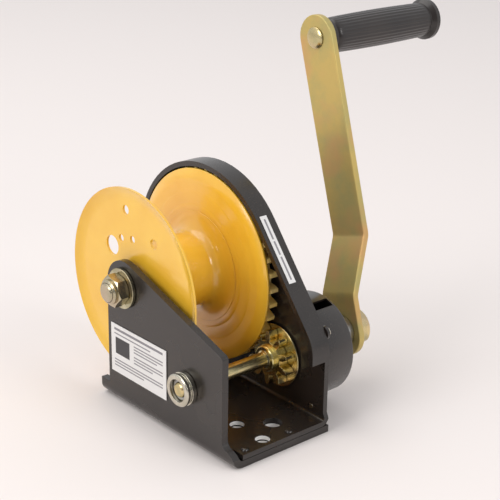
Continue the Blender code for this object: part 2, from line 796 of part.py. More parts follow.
def pinion_disc(mat):
    bm = bmesh.new()
    x0 = PINION_X1 + GAP
    profile = tube_profile(x0, x0 + DISC_T, STEP_R + GAP, DISC_R, 0.3)
    add_turned(bm, profile, (SHAFT_Y, SHAFT_Z), 48)
    return finish_object(bm, "pinion_disc", mat)


def end_bush(mat):
    """Turned bush at the free end, open toward the outside."""
    face = SIDE_X - END_BUSH_OUT
    seat = SIDE_X - GAP
    r = END_BUSH_R
    hole = SHAFT_R + RUN
    profile = [
        (face, RECESS_R),
        (face, r - 1.0),
        (face + 0.8, r - 0.2),
        (face + 2.6, r - 0.2),
        (face + 3.0, r - 1.2),
        (face + 3.8, r - 1.2),
        (face + 4.2, r),
        (seat, r),
        (seat, PLATE_BUSH_R),
        (SIDE_IN + 2.0, PLATE_BUSH_R),
        (SIDE_IN + 2.0, hole),
        (face + 4.6, hole),
        (face + 4.6, RECESS_R),
    ]
    bm = bmesh.new()
    add_turned(bm, profile, (SHAFT_Y, SHAFT_Z), 36)
    return finish_object(bm, "shaft_bush_left", mat)


def plate_bush(mat):
    lip = GEAR_OUT + GAP
    lip_r = PLATE_BUSH_R + PLATE_BUSH_LIP
    hole = STEP_R + RUN
    profile = [
        (GEAR_IN + 0.2, hole),
        (GEAR_IN + 0.2, PLATE_BUSH_R),
        (lip, PLATE_BUSH_R),
        (lip, lip_r),
        (lip + PLATE_BUSH_LIP_T, lip_r),
        (lip + PLATE_BUSH_LIP_T, hole),
    ]
    bm = bmesh.new()
    add_turned(bm, profile, (SHAFT_Y, SHAFT_Z), 32)
    return finish_object(bm, "shaft_bush_right", mat)


def retaining_ring(mat):
    bm = bmesh.new()
    x0 = SIDE_X - END_BUSH_OUT + 2.6
    profile = tube_profile(x0, x0 + 1.2, SHAFT_R + GAP, RECESS_R - 0.5, 0.2)
    add_turned(bm, profile, (SHAFT_Y, SHAFT_Z), 32)
    return finish_object(bm, "retaining_ring", mat)


# ---- brake -------------------------------------------------------------

def brake_positions():
    """Start of the disc, first lining, ratchet and second lining."""
    x = [BRAKE_X]
    for size in (BRAKE_DISC_T, LINING_T, RATCHET_T):
        x.append(x[-1] + size + GAP)
    return x


def brake_disc(mat):
    bm = bmesh.new()
    x0 = brake_positions()[0]
    profile = tube_profile(x0, x0 + BRAKE_DISC_T, STEP_R + GAP, BRAKE_DISC_R, 0.6)
    add_turned(bm, profile, (SHAFT_Y, SHAFT_Z))
    return finish_object(bm, "brake_disc", mat)


def brake_linings(mat):
    x = brake_positions()
    for name, x0 in (("inner", x[1]), ("outer", x[3])):
        profile = tube_profile(x0, x0 + LINING_T, STEP_R + 1.0, LINING_R, 0.2)
        bm = bmesh.new()
        add_turned(bm, profile, (SHAFT_Y, SHAFT_Z))
        finish_object(bm, "brake_lining_" + name, mat)


def ratchet_wheel(mat):
    axis = (SHAFT_Y, SHAFT_Z)
    x0 = brake_positions()[2]
    points = []
    step = TAU / RATCHET_TEETH
    for k in range(RATCHET_TEETH):
        face = RATCHET_FACE + step * k
        points.append(polar(axis, RATCHET_R - 0.2, face + 0.02))
        for u in (0.2, 0.4, 0.6, 0.8, 0.96):
            r = RATCHET_R + (RATCHET_ROOT - RATCHET_R) * u
            points.append(polar(axis, r, face + step * u))
        points.append(polar(axis, RATCHET_ROOT, face + step * 0.985))
    bm = bmesh.new()
    add_prism(bm, points, x0, x0 + RATCHET_T)
    wheel = finish_object(bm, "ratchet_wheel", mat)
    bm = bmesh.new()
    add_turned(bm, bore(x0 - BORE_MORE, x0 + RATCHET_T + BORE_MORE, STEP_R + 2.0 * GAP), axis, 28)
    return combine(wheel, bm, "DIFFERENCE")


def pawl(mat):
    """Push pawl whose tip stands in front of one ratchet face."""
    axis = (SHAFT_Y, SHAFT_Z)
    pivot = pawl_pivot()
    x0 = brake_positions()[2] + 0.3
    tip_a = RATCHET_FACE - math.radians(1.6)
    outer = polar(axis, RATCHET_R + 3.0, tip_a - math.radians(1.0))
    high = polar(axis, RATCHET_R + 1.2, tip_a)
    low = polar(axis, RATCHET_ROOT + 1.0, tip_a)
    under = polar(axis, RATCHET_R + 0.2, RATCHET_FACE - math.radians(12.0))
    points = arc_points(pivot, PAWL_BOSS_R, math.radians(-125.0), math.radians(100.0), 14)
    points += [outer, high, low, under]
    points = [turned_about(pivot, spot, -PAWL_LIFT) for spot in points]
    bm = bmesh.new()
    add_prism(bm, points, x0, x0 + RATCHET_T - 0.6)
    lever = finish_object(bm, "pawl", mat)
    bm = bmesh.new()
    add_turned(bm, bore(x0 - BORE_MORE, x0 + RATCHET_T + BORE_MORE, PAWL_PIN_R + RUN), pivot, 32)
    return combine(lever, bm, "DIFFERENCE")


def pawl_pin(mat):
    pivot = pawl_pivot()
    r = PAWL_PIN_R
    x = brake_positions()
    start = x[2] + RATCHET_T
    profile = [
        (GEAR_IN + 0.2, 0.0),
        (GEAR_IN + 0.2, r),
        (GEAR_OUT + GAP, r),
        (GEAR_OUT + GAP, r + 2.2),
        (x[2] - 0.2, r + 2.2),
        (x[2] - 0.2, r),
        (start + 4.4, r),
        (start + 4.4, r + 1.8),
        (start + 5.6, r + 1.4),
        (start + 5.6, 0.0),
    ]
    bm = bmesh.new()
    add_turned(bm, profile, pivot, 32)
    return finish_object(bm, "pawl_pin", mat)


def pawl_spring(mat):
    """Small torsion spring around the pawl pin, as one swept wire."""
    pivot = pawl_pivot()
    x0 = brake_positions()[2] + RATCHET_T + 0.75
    radius = PAWL_PIN_R + GAP + SPRING_WIRE_R + 0.1
    points = []
    for k in range(SPRING_STEPS + 1):
        u = k / SPRING_STEPS
        a = SPRING_START + TAU * SPRING_TURNS * u
        y, z = polar(pivot, radius, a)
        points.append((x0 + SPRING_PITCH * SPRING_TURNS * u, y, z))
    first = points[0]
    last = points[-1]
    end = SPRING_START + TAU * SPRING_TURNS
    lead_y = first[1] + SPRING_LEG * math.sin(SPRING_START)
    lead_z = first[2] - SPRING_LEG * math.cos(SPRING_START)
    tail_y = last[1] - SPRING_LEG * math.sin(end)
    tail_z = last[2] + SPRING_LEG * math.cos(end)
    bm = bmesh.new()
    path = [(first[0], lead_y, lead_z)] + points + [(last[0], tail_y, tail_z)]
    add_wire(bm, path, SPRING_WIRE_R)
    return finish_object(bm, "pawl_spring", mat, True)


def add_wire(bm, path, radius, sides=6):
    """Round wire swept along a path, closed at both ends."""
    rings = []
    count = len(path)
    for i in range(count):
        before = path[max(i - 1, 0)]
        after = path[min(i + 1, count - 1)]
        way = [after[k] - before[k] for k in range(3)]
        size = math.sqrt(sum(v * v for v in way))
        way = [v / size for v in way]
        side = (0.0, -way[2], way[1])
        norm = math.sqrt(sum(v * v for v in side))
        side = [v / norm for v in side]
        up = (
            way[1] * side[2] - way[2] * side[1],
            way[2] * side[0] - way[0] * side[2],
            way[0] * side[1] - way[1] * side[0],
        )
        ring = []
        for k in range(sides):
            a = TAU * k / sides
            c = radius * math.cos(a)
            s = radius * math.sin(a)
            spot = [(path[i][m] + side[m] * c + up[m] * s) * MM for m in range(3)]
            ring.append(bm.verts.new(spot))
        rings.append(ring)
    bm.faces.new(rings[0])
    bm.faces.new(list(reversed(rings[-1])))
    for low, high in zip(rings[:-1], rings[1:]):
        for k in range(sides):
            j = (k + 1) % sides
            bm.faces.new((low[k], low[j], high[j], high[k]))


def cover_shell(mat):
    """Drawn cup, open toward the plate, with a hole for the crank hub."""
    x0 = GEAR_OUT + GAP
    r = COVER_R
    t = COVER_T
    hole = HUB_TUBE_R + 1.6
    profile = [
        (x0, r - t),
        (x0, r),
        (COVER_X1 - 2.0, r),
        (COVER_X1 - 0.6, r - 0.6),
        (COVER_X1, r - 2.0),
        (COVER_X1, hole),
        (COVER_X1 - t, hole),
        (COVER_X1 - t, r - t),
    ]
    bm = bmesh.new()
    add_turned(bm, profile, (SHAFT_Y, SHAFT_Z), 52)
    return finish_object(bm, "brake_cover", mat)


def brake_cover(mat):
    """Cup with three screwed ears and a slot across its top."""
    axis = (SHAFT_Y, SHAFT_Z)
    x0 = GEAR_OUT + GAP
    cover = cover_shell(mat)
    for ear, spot in zip(EARS, ear_spots()):
        a = math.radians(ear[1])
        root = [polar(axis, COVER_R - 0.8, a + side * 0.22) for side in (-1.0, 1.0)]
        tip = arc_points(spot, EAR_TIP_R, a - 1.45, a + 1.45, 10)
        bm = bmesh.new()
        add_prism(bm, [root[0]] + tip + [root[1]], x0, x0 + EAR_T)
        combine(cover, bm, "UNION")
        bm = bmesh.new()
        add_turned(bm, bore(x0 - BORE_MORE, x0 + EAR_T + BORE_MORE, SCREW_R + GAP), spot, 12)
        combine(cover, bm, "DIFFERENCE")
    a0 = math.radians(COVER_SLOT[0])
    a1 = math.radians(COVER_SLOT[1])
    window = arc_points(axis, COVER_R + 4.0, a0, a1, 6)
    window += arc_points(axis, COVER_R - 5.0, a1, a0, 6)
    bm = bmesh.new()
    add_prism(bm, window, x0 + 8.0, COVER_X1 - 2.6)
    return combine(cover, bm, "DIFFERENCE")


def cover_screws(mat):
    x0 = GEAR_IN + 0.2
    head = GEAR_OUT + GAP + EAR_T + GAP
    r = SCREW_R
    h = SCREW_HEAD_R
    t = SCREW_HEAD_T
    profile = [(x0, 0.0), (x0, r), (head, r), (head, h)]
    profile += [(head + t * 0.5, h * 0.92), (head + t, h * 0.55), (head + t, 0.0)]
    for number, spot in enumerate(ear_spots(), 1):
        bm = bmesh.new()
        add_turned(bm, profile, spot, 12)
        finish_object(bm, "cover_screw_%d" % number, mat, True)


# ---- crank -------------------------------------------------------------

def crank_hub(mat):
    x0 = HUB_X
    arm = ARM_X - GAP
    end = ARM_X + ARM_T + 0.2
    hole = STEP_R + GAP
    profile = [
        (x0, hole),
        (x0, LINING_R - 0.8),
        (x0 + 0.8, LINING_R),
        (x0 + 3.4, LINING_R),
        (x0 + 4.2, LINING_R - 0.8),
        (x0 + 4.2, HUB_TUBE_R),
        (arm, HUB_TUBE_R),
        (arm, HUB_SPIGOT_R),
        (end, HUB_SPIGOT_R),
        (end, hole),
    ]
    bm = bmesh.new()
    add_turned(bm, profile, (SHAFT_Y, SHAFT_Z), 36)
    return finish_object(bm, "crank_hub", mat)


def arm_place(s, w):
    """Point at s along the crank and w across it, as (y, z)."""
    y = SHAFT_Y + s * math.sin(CRANK_LEAN) - w * math.cos(CRANK_LEAN)
    z = SHAFT_Z + s * math.cos(CRANK_LEAN) + w * math.sin(CRANK_LEAN)
    return (y, z)


def arm_strip():
    """(along, x) outline of the bar with its two easy bends."""
    slope = math.atan2(ARM_OFFSET, ARM_BEND_1 - ARM_BEND_0)
    s_end = CRANK_LEN + ARM_W
    radius = ARM_BEND_R
    back = radius * math.tan(slope / 2.0)
    centre_0 = (ARM_BEND_0 - back, radius)
    centre_1 = (ARM_BEND_1 + back, ARM_OFFSET - radius)
    mid_line = [(-2.0 * ARM_W, 0.0, 0.0)]
    for k in range(7):
        a = slope * k / 6.0
        mid_line.append((centre_0[0] + radius * math.sin(a), centre_0[1] - radius * math.cos(a), a))
    for k in range(7):
        a = slope * (1.0 - k / 6.0)
        mid_line.append((centre_1[0] - radius * math.sin(a), centre_1[1] + radius * math.cos(a), a))
    mid_line.append((s_end, ARM_OFFSET, 0.0))
    near = []
    far = []
    for s, x, a in mid_line:
        half = ARM_T / 2.0
        near.append((s + half * math.sin(a), x - half * math.cos(a)))
        far.append((s - half * math.sin(a), x + half * math.cos(a)))
    return near + list(reversed(far))


def arm_end(s, side, steps=16):
    """Half-round end of the bar about s; side is 1 at the grip and -1 below."""
    half = ARM_W / 2.0
    turns = [math.pi * k / steps for k in range(steps + 1)]
    return [arm_place(s + side * half * math.sin(a), -side * half * math.cos(a)) for a in turns]


def crank_arm(mat):
    x_mid = ARM_X + ARM_T / 2.0
    bm = bmesh.new()
    sides = []
    for w in (-ARM_W, ARM_W):
        row = []
        for s, x in arm_strip():
            y, z = arm_place(s, w)
            row.append(bm.verts.new(((x_mid + x) * MM, y * MM, z * MM)))
        sides.append(row)
    bm.faces.new(sides[0])
    bm.faces.new(list(reversed(sides[1])))
    count = len(sides[0])
    for i in range(count):
        j = (i + 1) % count
        bm.faces.new((sides[0][i], sides[0][j], sides[1][j], sides[1][i]))
    arm = finish_object(bm, "crank_arm", mat)
    bm = bmesh.new()
    outline = arm_end(-ARM_TAIL, -1.0) + arm_end(CRANK_LEN, 1.0)
    add_prism(bm, outline, ARM_X - ARM_T, ARM_X + ARM_OFFSET + 3.0 * ARM_T)
    combine(arm, bm, "INTERSECT")
    bm = bmesh.new()
    hub_x = ARM_X + ARM_T + BORE_MORE
    add_turned(bm, bore(ARM_X - BORE_MORE, hub_x, HUB_SPIGOT_R + GAP), arm_place(0.0, 0.0), 36)
    x0 = ARM_X + ARM_OFFSET
    pin_x = x0 + ARM_T + BORE_MORE
    add_turned(bm, bore(x0 - BORE_MORE, pin_x, PIN_R + GAP), arm_place(CRANK_LEN, 0.0), 28)
    combine(arm, bm, "DIFFERENCE")
    return soften(arm, 0.5)


def move_origin(obj, axis):
    """Shift an object's origin to a (y, z) axis, its shape staying in place."""
    place = (0.0, axis[0] * MM, axis[1] * MM)
    for vert in obj.data.vertices:
        vert.co.y -= place[1]
        vert.co.z -= place[2]
    obj.location = place


def crank_nut(mat):
    axis = (SHAFT_Y, SHAFT_Z)
    x0 = ARM_X + ARM_T + 0.2 + GAP
    x1 = x0 + CRANK_NUT_T
    r = CRANK_NUT_R
    bm = bmesh.new()
    add_prism(bm, hexagon(axis, 2.0 * r - 1.0, math.radians(20.0)), x0, x1)
    nut = finish_object(bm, "crank_nut", mat)
    bm = bmesh.new()
    add_turned(bm, [(x0, 0.0), (x0, r + 0.2), (x1 - 2.0, r + 0.2), (x1, r - 1.8), (x1, 0.0)], axis, 32)
    combine(nut, bm, "INTERSECT")
    bm = bmesh.new()
    add_turned(bm, bore(x0 - BORE_MORE, x1 + BORE_MORE, STEP_R + GAP), axis, 28)
    return combine(nut, bm, "DIFFERENCE")


def grip_pin(mat):
    spot = arm_place(CRANK_LEN, 0.0)
    x0 = ARM_X + ARM_OFFSET
    end = x0 + ARM_T + GRIP_GAP + GRIP_LEN - 3.6
    r = PIN_R
    h = PIN_HEAD_R
    profile = [
        (x0 - 2.2, 0.0),
        (x0 - 2.2, h * 0.5),
        (x0 - 1.6, h * 0.85),
        (x0 - 0.8, h),
        (x0 - GAP, h),
        (x0 - GAP, r),
        (end, r),
        (end, r + 1.6),
        (end + 1.6, r + 1.2),
        (end + 1.6, 0.0),
    ]
    bm = bmesh.new()
    add_turned(bm, profile, spot, 32)
    return finish_object(bm, "grip_pin", mat, True)


def grip(mat):
    """Ribbed handle with a plain collar and an end flange."""
    spot = arm_place(CRANK_LEN, 0.0)
    x0 = ARM_X + ARM_OFFSET + ARM_T + GRIP_GAP
    hole = PIN_R + RUN
    recess = PIN_R + 2.2
    length = GRIP_LEN
    neck = GRIP_R - 1.4
    rows = [(0.0, neck - 0.8, 0.0), (0.8, neck, 0.0), (6.0, neck, 0.0), (7.0, GRIP_R - 0.5, 0.0)]
    for k in range(5):
        u = k / 4.0
        swell = 0.6 * math.sin(math.pi * u)
        rows.append((9.0 + (length - 18.0) * u, GRIP_R + swell, GRIP_RIB))
    rows += [(length - 7.5, GRIP_R - 0.5, 0.0), (length - 5.5, GRIP_END_R - 0.6, 0.0)]
    rows += [(length - 4.6, GRIP_END_R, 0.0), (length - 1.4, GRIP_END_R, 0.0)]
    rows += [(length, GRIP_END_R - 1.4, 0.0), (length, recess, 0.0), (length - 4.2, recess, 0.0)]
    rows += [(length - 4.2, hole, 0.0), (0.0, hole, 0.0)]
    steps = GRIP_RIBS * 2
    bm = bmesh.new()
    rings = []
    for dx, radius, rib in rows:
        ring = []
        for k in range(steps):
            a = TAU * k / steps
            r = radius + rib * (1.0 if k % 2 == 0 else -1.0)
            y, z = polar(spot, r, a)
            ring.append(bm.verts.new(((x0 + dx) * MM, y * MM, z * MM)))
        rings.append(ring)
    count = len(rings)
    for i in range(count):
        near = rings[i]
        far = rings[(i + 1) % count]
        for k in range(steps):
            j = (k + 1) % steps
            bm.faces.new((near[k], near[j], far[j], far[k]))
    return finish_object(bm, "grip", mat)


def set_joint_origins():
    """Put the origin of every turning piece on its own axis."""
    for obj in bpy.data.objects:
        if obj.name.startswith(("drum_", "ring_gear", "gear_rivet")):
            move_origin(obj, (DRUM_Y, DRUM_Z))
        if obj.name in SHAFT_PIECES or obj.name.startswith("brake_lining"):
            move_origin(obj, (SHAFT_Y, SHAFT_Z))
        if obj.name in ("pawl", "pawl_spring"):
            move_origin(obj, pawl_pivot())
        if obj.name == "grip":
            move_origin(obj, arm_place(CRANK_LEN, 0.0))


def build():
    for obj in list(bpy.data.objects):
        bpy.data.objects.remove(obj)
    black = material("black_paint", (0.03, 0.028, 0.027), 0.0, 0.3)
    yellow = material("yellow_paint", (0.85, 0.48, 0.06), 0.0, 0.3)
    zinc = material("yellow_zinc", (0.62, 0.52, 0.28), 0.9, 0.35)
    silver = material("silver_zinc", (0.7, 0.7, 0.66), 0.9, 0.3)
    steel = material("plain_steel", (0.45, 0.45, 0.46), 0.9, 0.4)
    bronze = material("bush_metal", (0.5, 0.36, 0.2), 0.8, 0.45)
    lining = material("brake_lining", (0.16, 0.12, 0.09), 0.0, 0.9)
    rubber = material("black_grip", (0.02, 0.02, 0.02), 0.0, 0.55)
    paper = material("label_white", (0.9, 0.9, 0.9), 0.0, 0.5)

    side_frame(black)
    gear_frame(black)
    base_rivets(black)
    side_label(paper)
    guard_label(paper)
    axle_bolt(zinc)
    axle_nut(zinc)
    axle_washers(zinc)
    axle_sleeve(steel)
    left_flange(yellow)
    right_flange(yellow)
    drum_core(yellow)
    ring_gear(yellow)
    gear_rivets(yellow)
    drum_bushes(bronze)
    input_shaft(zinc)
    pinion(zinc)
    pinion_disc(zinc)
    end_bush(silver)
    plate_bush(bronze)
    retaining_ring(steel)
    brake_disc(steel)
    brake_linings(lining)
    ratchet_wheel(steel)
    pawl(steel)
    pawl_pin(steel)
    pawl_spring(silver)
    brake_cover(black)
    cover_screws(silver)
    crank_hub(steel)
    crank_arm(zinc)
    crank_nut(zinc)
    grip_pin(zinc)
    grip(rubber)
    set_joint_origins()


build()
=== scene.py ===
import math

import bpy
from mathutils import Matrix, Vector


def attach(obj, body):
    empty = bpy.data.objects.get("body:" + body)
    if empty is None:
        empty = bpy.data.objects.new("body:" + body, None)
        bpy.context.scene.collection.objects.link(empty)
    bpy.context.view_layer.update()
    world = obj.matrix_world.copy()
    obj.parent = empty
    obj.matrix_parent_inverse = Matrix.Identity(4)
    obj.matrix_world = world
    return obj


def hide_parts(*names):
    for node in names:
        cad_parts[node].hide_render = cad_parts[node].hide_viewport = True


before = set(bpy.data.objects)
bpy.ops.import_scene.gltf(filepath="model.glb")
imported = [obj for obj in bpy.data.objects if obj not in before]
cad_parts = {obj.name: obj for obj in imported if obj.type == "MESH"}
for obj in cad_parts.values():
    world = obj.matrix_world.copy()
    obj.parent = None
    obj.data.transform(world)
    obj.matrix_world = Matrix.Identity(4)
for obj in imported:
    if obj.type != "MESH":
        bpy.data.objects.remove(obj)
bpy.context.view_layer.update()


# Camera.
# The winch is seen from its free end, a little above and to the front of the
# drum, through a long lens that keeps the plates nearly parallel.
CAMERA_PLACE = (-0.50367, -0.60845, 0.41811)
CAMERA_HEADING = math.radians(-41.30)
CAMERA_TILT = math.radians(90.0 - 21.04)
CAMERA_ROLL = math.radians(1.0)
CAMERA_LENS = 96.48

camera_turn = (
    Matrix.Rotation(CAMERA_HEADING, 3, "Z")
    @ Matrix.Rotation(CAMERA_TILT, 3, "X")
    @ Matrix.Rotation(CAMERA_ROLL, 3, "Z")
)
bpy.ops.object.camera_add(location=CAMERA_PLACE, rotation=camera_turn.to_euler())
camera = bpy.context.object
camera.name = "view_camera"
camera.data.lens = CAMERA_LENS
camera.data.sensor_width = 36.0
camera.data.clip_start = 0.01
camera.data.clip_end = 20.0
bpy.context.scene.camera = camera


# Studio floor.
# A sheet of pale warm paper lies flat under the base and runs out of sight on
# every side. It is staging and no part of the winch.
FLOOR_HALF = 4.0
FLOOR_COLOR = (0.82, 0.765, 0.745, 1.0)

bpy.ops.object.select_all(action="DESELECT")
bpy.ops.mesh.primitive_plane_add(size=2.0 * FLOOR_HALF, location=(0.0, 0.0, -0.0002))
floor = bpy.context.object
floor.name = "paper_floor"
bpy.ops.object.transform_apply(location=True, rotation=True, scale=True)
paper = bpy.data.materials.new("floor_paper")
paper.use_nodes = True
paper_shader = paper.node_tree.nodes["Principled BSDF"]
paper_shader.inputs["Base Color"].default_value = FLOOR_COLOR
paper_shader.inputs["Roughness"].default_value = 0.75
paper_shader.inputs["Specular IOR Level"].default_value = 0.2
floor.data.materials.append(paper)


# Studio light.
# A wide soft box hangs over the winch, a second stands to the left of the
# camera, and a weak one fills the right side. The room itself is pale grey.
ROOM_COLOR = (0.92, 0.93, 0.95, 1.0)
ROOM_STRENGTH = 0.86
ROOM_DARK = 0.3
STAND_SIDE = (-0.62, -0.76, 0.18)


def soft_box(name, place, aim, wide, high, power, tint):
    bpy.ops.object.light_add(type="AREA", location=place)
    lamp = bpy.context.object
    lamp.name = name
    lamp.data.shape = "RECTANGLE"
    lamp.data.size = wide
    lamp.data.size_y = high
    lamp.data.energy = power
    lamp.data.color = tint
    way = Vector(aim) - Vector(place)
    lamp.rotation_euler = way.to_track_quat("-Z", "Y").to_euler()


soft_box("overhead_box", (-0.3, 0.9, 1.9), (0.0, 0.45, 0.0), 1.9, 1.5, 15.0, (1.0, 0.98, 0.95))
soft_box("left_box", (-1.5, 0.0, 0.9), (0.0, 0.0, 0.1), 0.8, 0.8, 9.0, (1.0, 0.97, 0.94))
soft_box("front_box", (0.35, -1.5, 1.0), (0.0, 0.0, 0.08), 0.7, 0.5, 7.0, (1.0, 0.98, 0.96))


def fit_room():
    """Pale room, darker on the side where the camera and its stand are."""
    room = bpy.data.worlds.new("studio_room")
    bpy.context.scene.world = room
    room.use_nodes = True
    tree = room.node_tree
    air = tree.nodes["Background"]
    air.inputs["Color"].default_value = ROOM_COLOR
    place = tree.nodes.new("ShaderNodeTexCoord")
    facing = tree.nodes.new("ShaderNodeVectorMath")
    facing.operation = "DOT_PRODUCT"
    facing.inputs[1].default_value = STAND_SIDE
    tree.links.new(place.outputs["Generated"], facing.inputs[0])
    level = tree.nodes.new("ShaderNodeMapRange")
    level.inputs["From Min"].default_value = 0.45
    level.inputs["From Max"].default_value = 0.9
    level.inputs["To Min"].default_value = ROOM_STRENGTH
    level.inputs["To Max"].default_value = ROOM_DARK
    tree.links.new(facing.outputs["Value"], level.inputs["Value"])
    tree.links.new(level.outputs["Result"], air.inputs["Strength"])


fit_room()
bpy.context.scene.view_settings.view_transform = "Standard"


# Side plate, and the black enamel of the whole frame.
# One thick sheet bent up from the base. The frame is dipped in glossy black
# enamel, which pulls thin in places and catches a little dust on its flats.
MM = 0.001
SHEET_EDGE = 0.45 * MM


def shader_of(name):
    """New material with its node tree and Principled shader."""
    mat = bpy.data.materials.new(name)
    mat.use_nodes = True
    tree = mat.node_tree
    return mat, tree, tree.nodes["Principled BSDF"]


def add_node(tree, kind, **settings):
    node = tree.nodes.new(kind)
    for key, value in settings.items():
        if key in node.inputs.keys():
            node.inputs[key].default_value = value
        else:
            setattr(node, key, value)
    return node


def wire(tree, source, output, target, socket):
    tree.links.new(source.outputs[output], target.inputs[socket])


def open_group(name, inputs, outputs):
    """New shader node group with its sockets; returns tree, way in and way out."""
    tree = bpy.data.node_groups.new(name, "ShaderNodeTree")
    for label, kind, value in inputs:
        socket = tree.interface.new_socket(label, in_out="INPUT", socket_type=kind)
        socket.default_value = value
    for label, kind in outputs:
        tree.interface.new_socket(label, in_out="OUTPUT", socket_type=kind)
    return tree, tree.nodes.new("NodeGroupInput"), tree.nodes.new("NodeGroupOutput")


def make_enamel_skin():
    """Enamel surface: slow tone drift, dust speckle and a fine orange peel."""
    tree, way_in, way_out = open_group(
        "enamel_skin",
        [
            ("Thin", "NodeSocketColor", (0.1, 0.1, 0.1, 1.0)),
            ("Full", "NodeSocketColor", (0.05, 0.05, 0.05, 1.0)),
            ("Dust", "NodeSocketColor", (0.3, 0.28, 0.26, 1.0)),
            ("Dust Amount", "NodeSocketFloat", 0.15),
            ("Gloss Low", "NodeSocketFloat", 0.2),
            ("Gloss High", "NodeSocketFloat", 0.32),
            ("Peel", "NodeSocketFloat", 0.12),
        ],
        [("Color", "NodeSocketColor"), ("Roughness", "NodeSocketFloat"), ("Normal", "NodeSocketVector")],
    )
    place = add_node(tree, "ShaderNodeTexCoord")
    drift = add_node(tree, "ShaderNodeTexNoise", Scale=26.0, Detail=3.0, Roughness=0.55)
    wire(tree, place, "Object", drift, "Vector")
    tone = add_node(tree, "ShaderNodeMapRange")
    tone.inputs["From Min"].default_value = 0.35
    tone.inputs["From Max"].default_value = 0.68
    wire(tree, drift, "Fac", tone, "Value")
    coat = add_node(tree, "ShaderNodeMix", data_type="RGBA")
    wire(tree, tone, "Result", coat, "Factor")
    tree.links.new(way_in.outputs["Full"], coat.inputs["A"])
    tree.links.new(way_in.outputs["Thin"], coat.inputs["B"])

    lint = add_node(tree, "ShaderNodeTexNoise", Scale=900.0, Detail=2.0, Roughness=0.7)
    wire(tree, place, "Object", lint, "Vector")
    specks = add_node(tree, "ShaderNodeMapRange")
    specks.inputs["From Min"].default_value = 0.60
    specks.inputs["From Max"].default_value = 0.74
    wire(tree, lint, "Fac", specks, "Value")
    shape = add_node(tree, "ShaderNodeNewGeometry")
    split = add_node(tree, "ShaderNodeSeparateXYZ")
    wire(tree, shape, "Normal", split, "Vector")
    upward = add_node(tree, "ShaderNodeMapRange")
    upward.inputs["From Min"].default_value = -0.2
    upward.inputs["From Max"].default_value = 1.0
    upward.inputs["To Min"].default_value = 0.25
    wire(tree, split, "Z", upward, "Value")
    settled = add_node(tree, "ShaderNodeMath", operation="MULTIPLY")
    wire(tree, specks, "Result", settled, 0)
    wire(tree, upward, "Result", settled, 1)
    amount = add_node(tree, "ShaderNodeMath", operation="MULTIPLY")
    wire(tree, settled, "Value", amount, 0)
    tree.links.new(way_in.outputs["Dust Amount"], amount.inputs[1])
    dusty = add_node(tree, "ShaderNodeMix", data_type="RGBA")
    wire(tree, amount, "Value", dusty, "Factor")
    tree.links.new(coat.outputs["Result"], dusty.inputs["A"])
    tree.links.new(way_in.outputs["Dust"], dusty.inputs["B"])
    tree.links.new(dusty.outputs["Result"], way_out.inputs["Color"])

    sheen = add_node(tree, "ShaderNodeMapRange")
    wire(tree, drift, "Fac", sheen, "Value")
    tree.links.new(way_in.outputs["Gloss Low"], sheen.inputs["To Min"])
    tree.links.new(way_in.outputs["Gloss High"], sheen.inputs["To Max"])
    wire(tree, sheen, "Result", way_out, "Roughness")

    peel = add_node(tree, "ShaderNodeTexNoise", Scale=420.0, Detail=1.0, Roughness=0.4)
    wire(tree, place, "Object", peel, "Vector")
    bump = add_node(tree, "ShaderNodeBump", Distance=0.00025)
    tree.links.new(way_in.outputs["Peel"], bump.inputs["Strength"])
    wire(tree, peel, "Fac", bump, "Height")
    wire(tree, bump, "Normal", way_out, "Normal")
    return tree


enamel_skin = make_enamel_skin()


def enamel(name, thin, full, dust, amount, gloss, peel, coat=0.2):
    """Glossy enamel with a clear top; gloss is the roughness from low to high."""
    mat, tree, shader = shader_of(name)
    skin = add_node(tree, "ShaderNodeGroup", node_tree=enamel_skin)
    skin.inputs["Thin"].default_value = thin
    skin.inputs["Full"].default_value = full
    skin.inputs["Dust"].default_value = dust
    skin.inputs["Dust Amount"].default_value = amount
    skin.inputs["Gloss Low"].default_value = gloss[0]
    skin.inputs["Gloss High"].default_value = gloss[1]
    skin.inputs["Peel"].default_value = peel
    wire(tree, skin, "Color", shader, "Base Color")
    wire(tree, skin, "Roughness", shader, "Roughness")
    wire(tree, skin, "Normal", shader, "Normal")
    shader.inputs["Coat Weight"].default_value = coat
    shader.inputs["Coat Roughness"].default_value = 0.15
    return mat


black_enamel = enamel(
    "black_enamel",
    (0.024, 0.018, 0.015, 1.0),
    (0.016, 0.012, 0.010, 1.0),
    (0.24, 0.20, 0.17, 1.0),
    0.16,
    (0.22, 0.32),
    0.08,
)


def alone(obj):
    """Make one object the only one selected, and active."""
    bpy.ops.object.select_all(action="DESELECT")
    obj.select_set(True)
    bpy.context.view_layer.objects.active = obj


def break_edges(obj, width, rows=2, angle=30.0):
    """Round the sharp edges of a finished shape and shade it."""
    alone(obj)
    bevel = obj.modifiers.new("broken_edges", "BEVEL")
    bevel.width = width
    bevel.segments = rows
    bevel.limit_method = "ANGLE"
    bevel.angle_limit = math.radians(angle)
    bevel.harden_normals = True
    bpy.ops.object.modifier_apply(modifier=bevel.name)


def fair_copy(node, name, edge, rows=2, angle=30.0):
    """Merged copy of a node, its flats made whole and its edges broken."""
    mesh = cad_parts[node].data.copy()
    mesh.materials.clear()
    piece = bpy.data.objects.new(name, mesh)
    bpy.context.scene.collection.objects.link(piece)
    alone(piece)
    if mesh.has_custom_normals:
        bpy.ops.mesh.customdata_custom_splitnormals_clear()
    bpy.ops.object.mode_set(mode="EDIT")
    bpy.ops.mesh.select_all(action="SELECT")
    bpy.ops.mesh.remove_doubles(threshold=0.000004)
    bpy.ops.mesh.dissolve_limited(angle_limit=math.radians(0.5))
    bpy.ops.object.mode_set(mode="OBJECT")
    bpy.ops.object.shade_smooth_by_angle(angle=math.radians(angle))
    break_edges(piece, edge, rows, angle)
    return piece


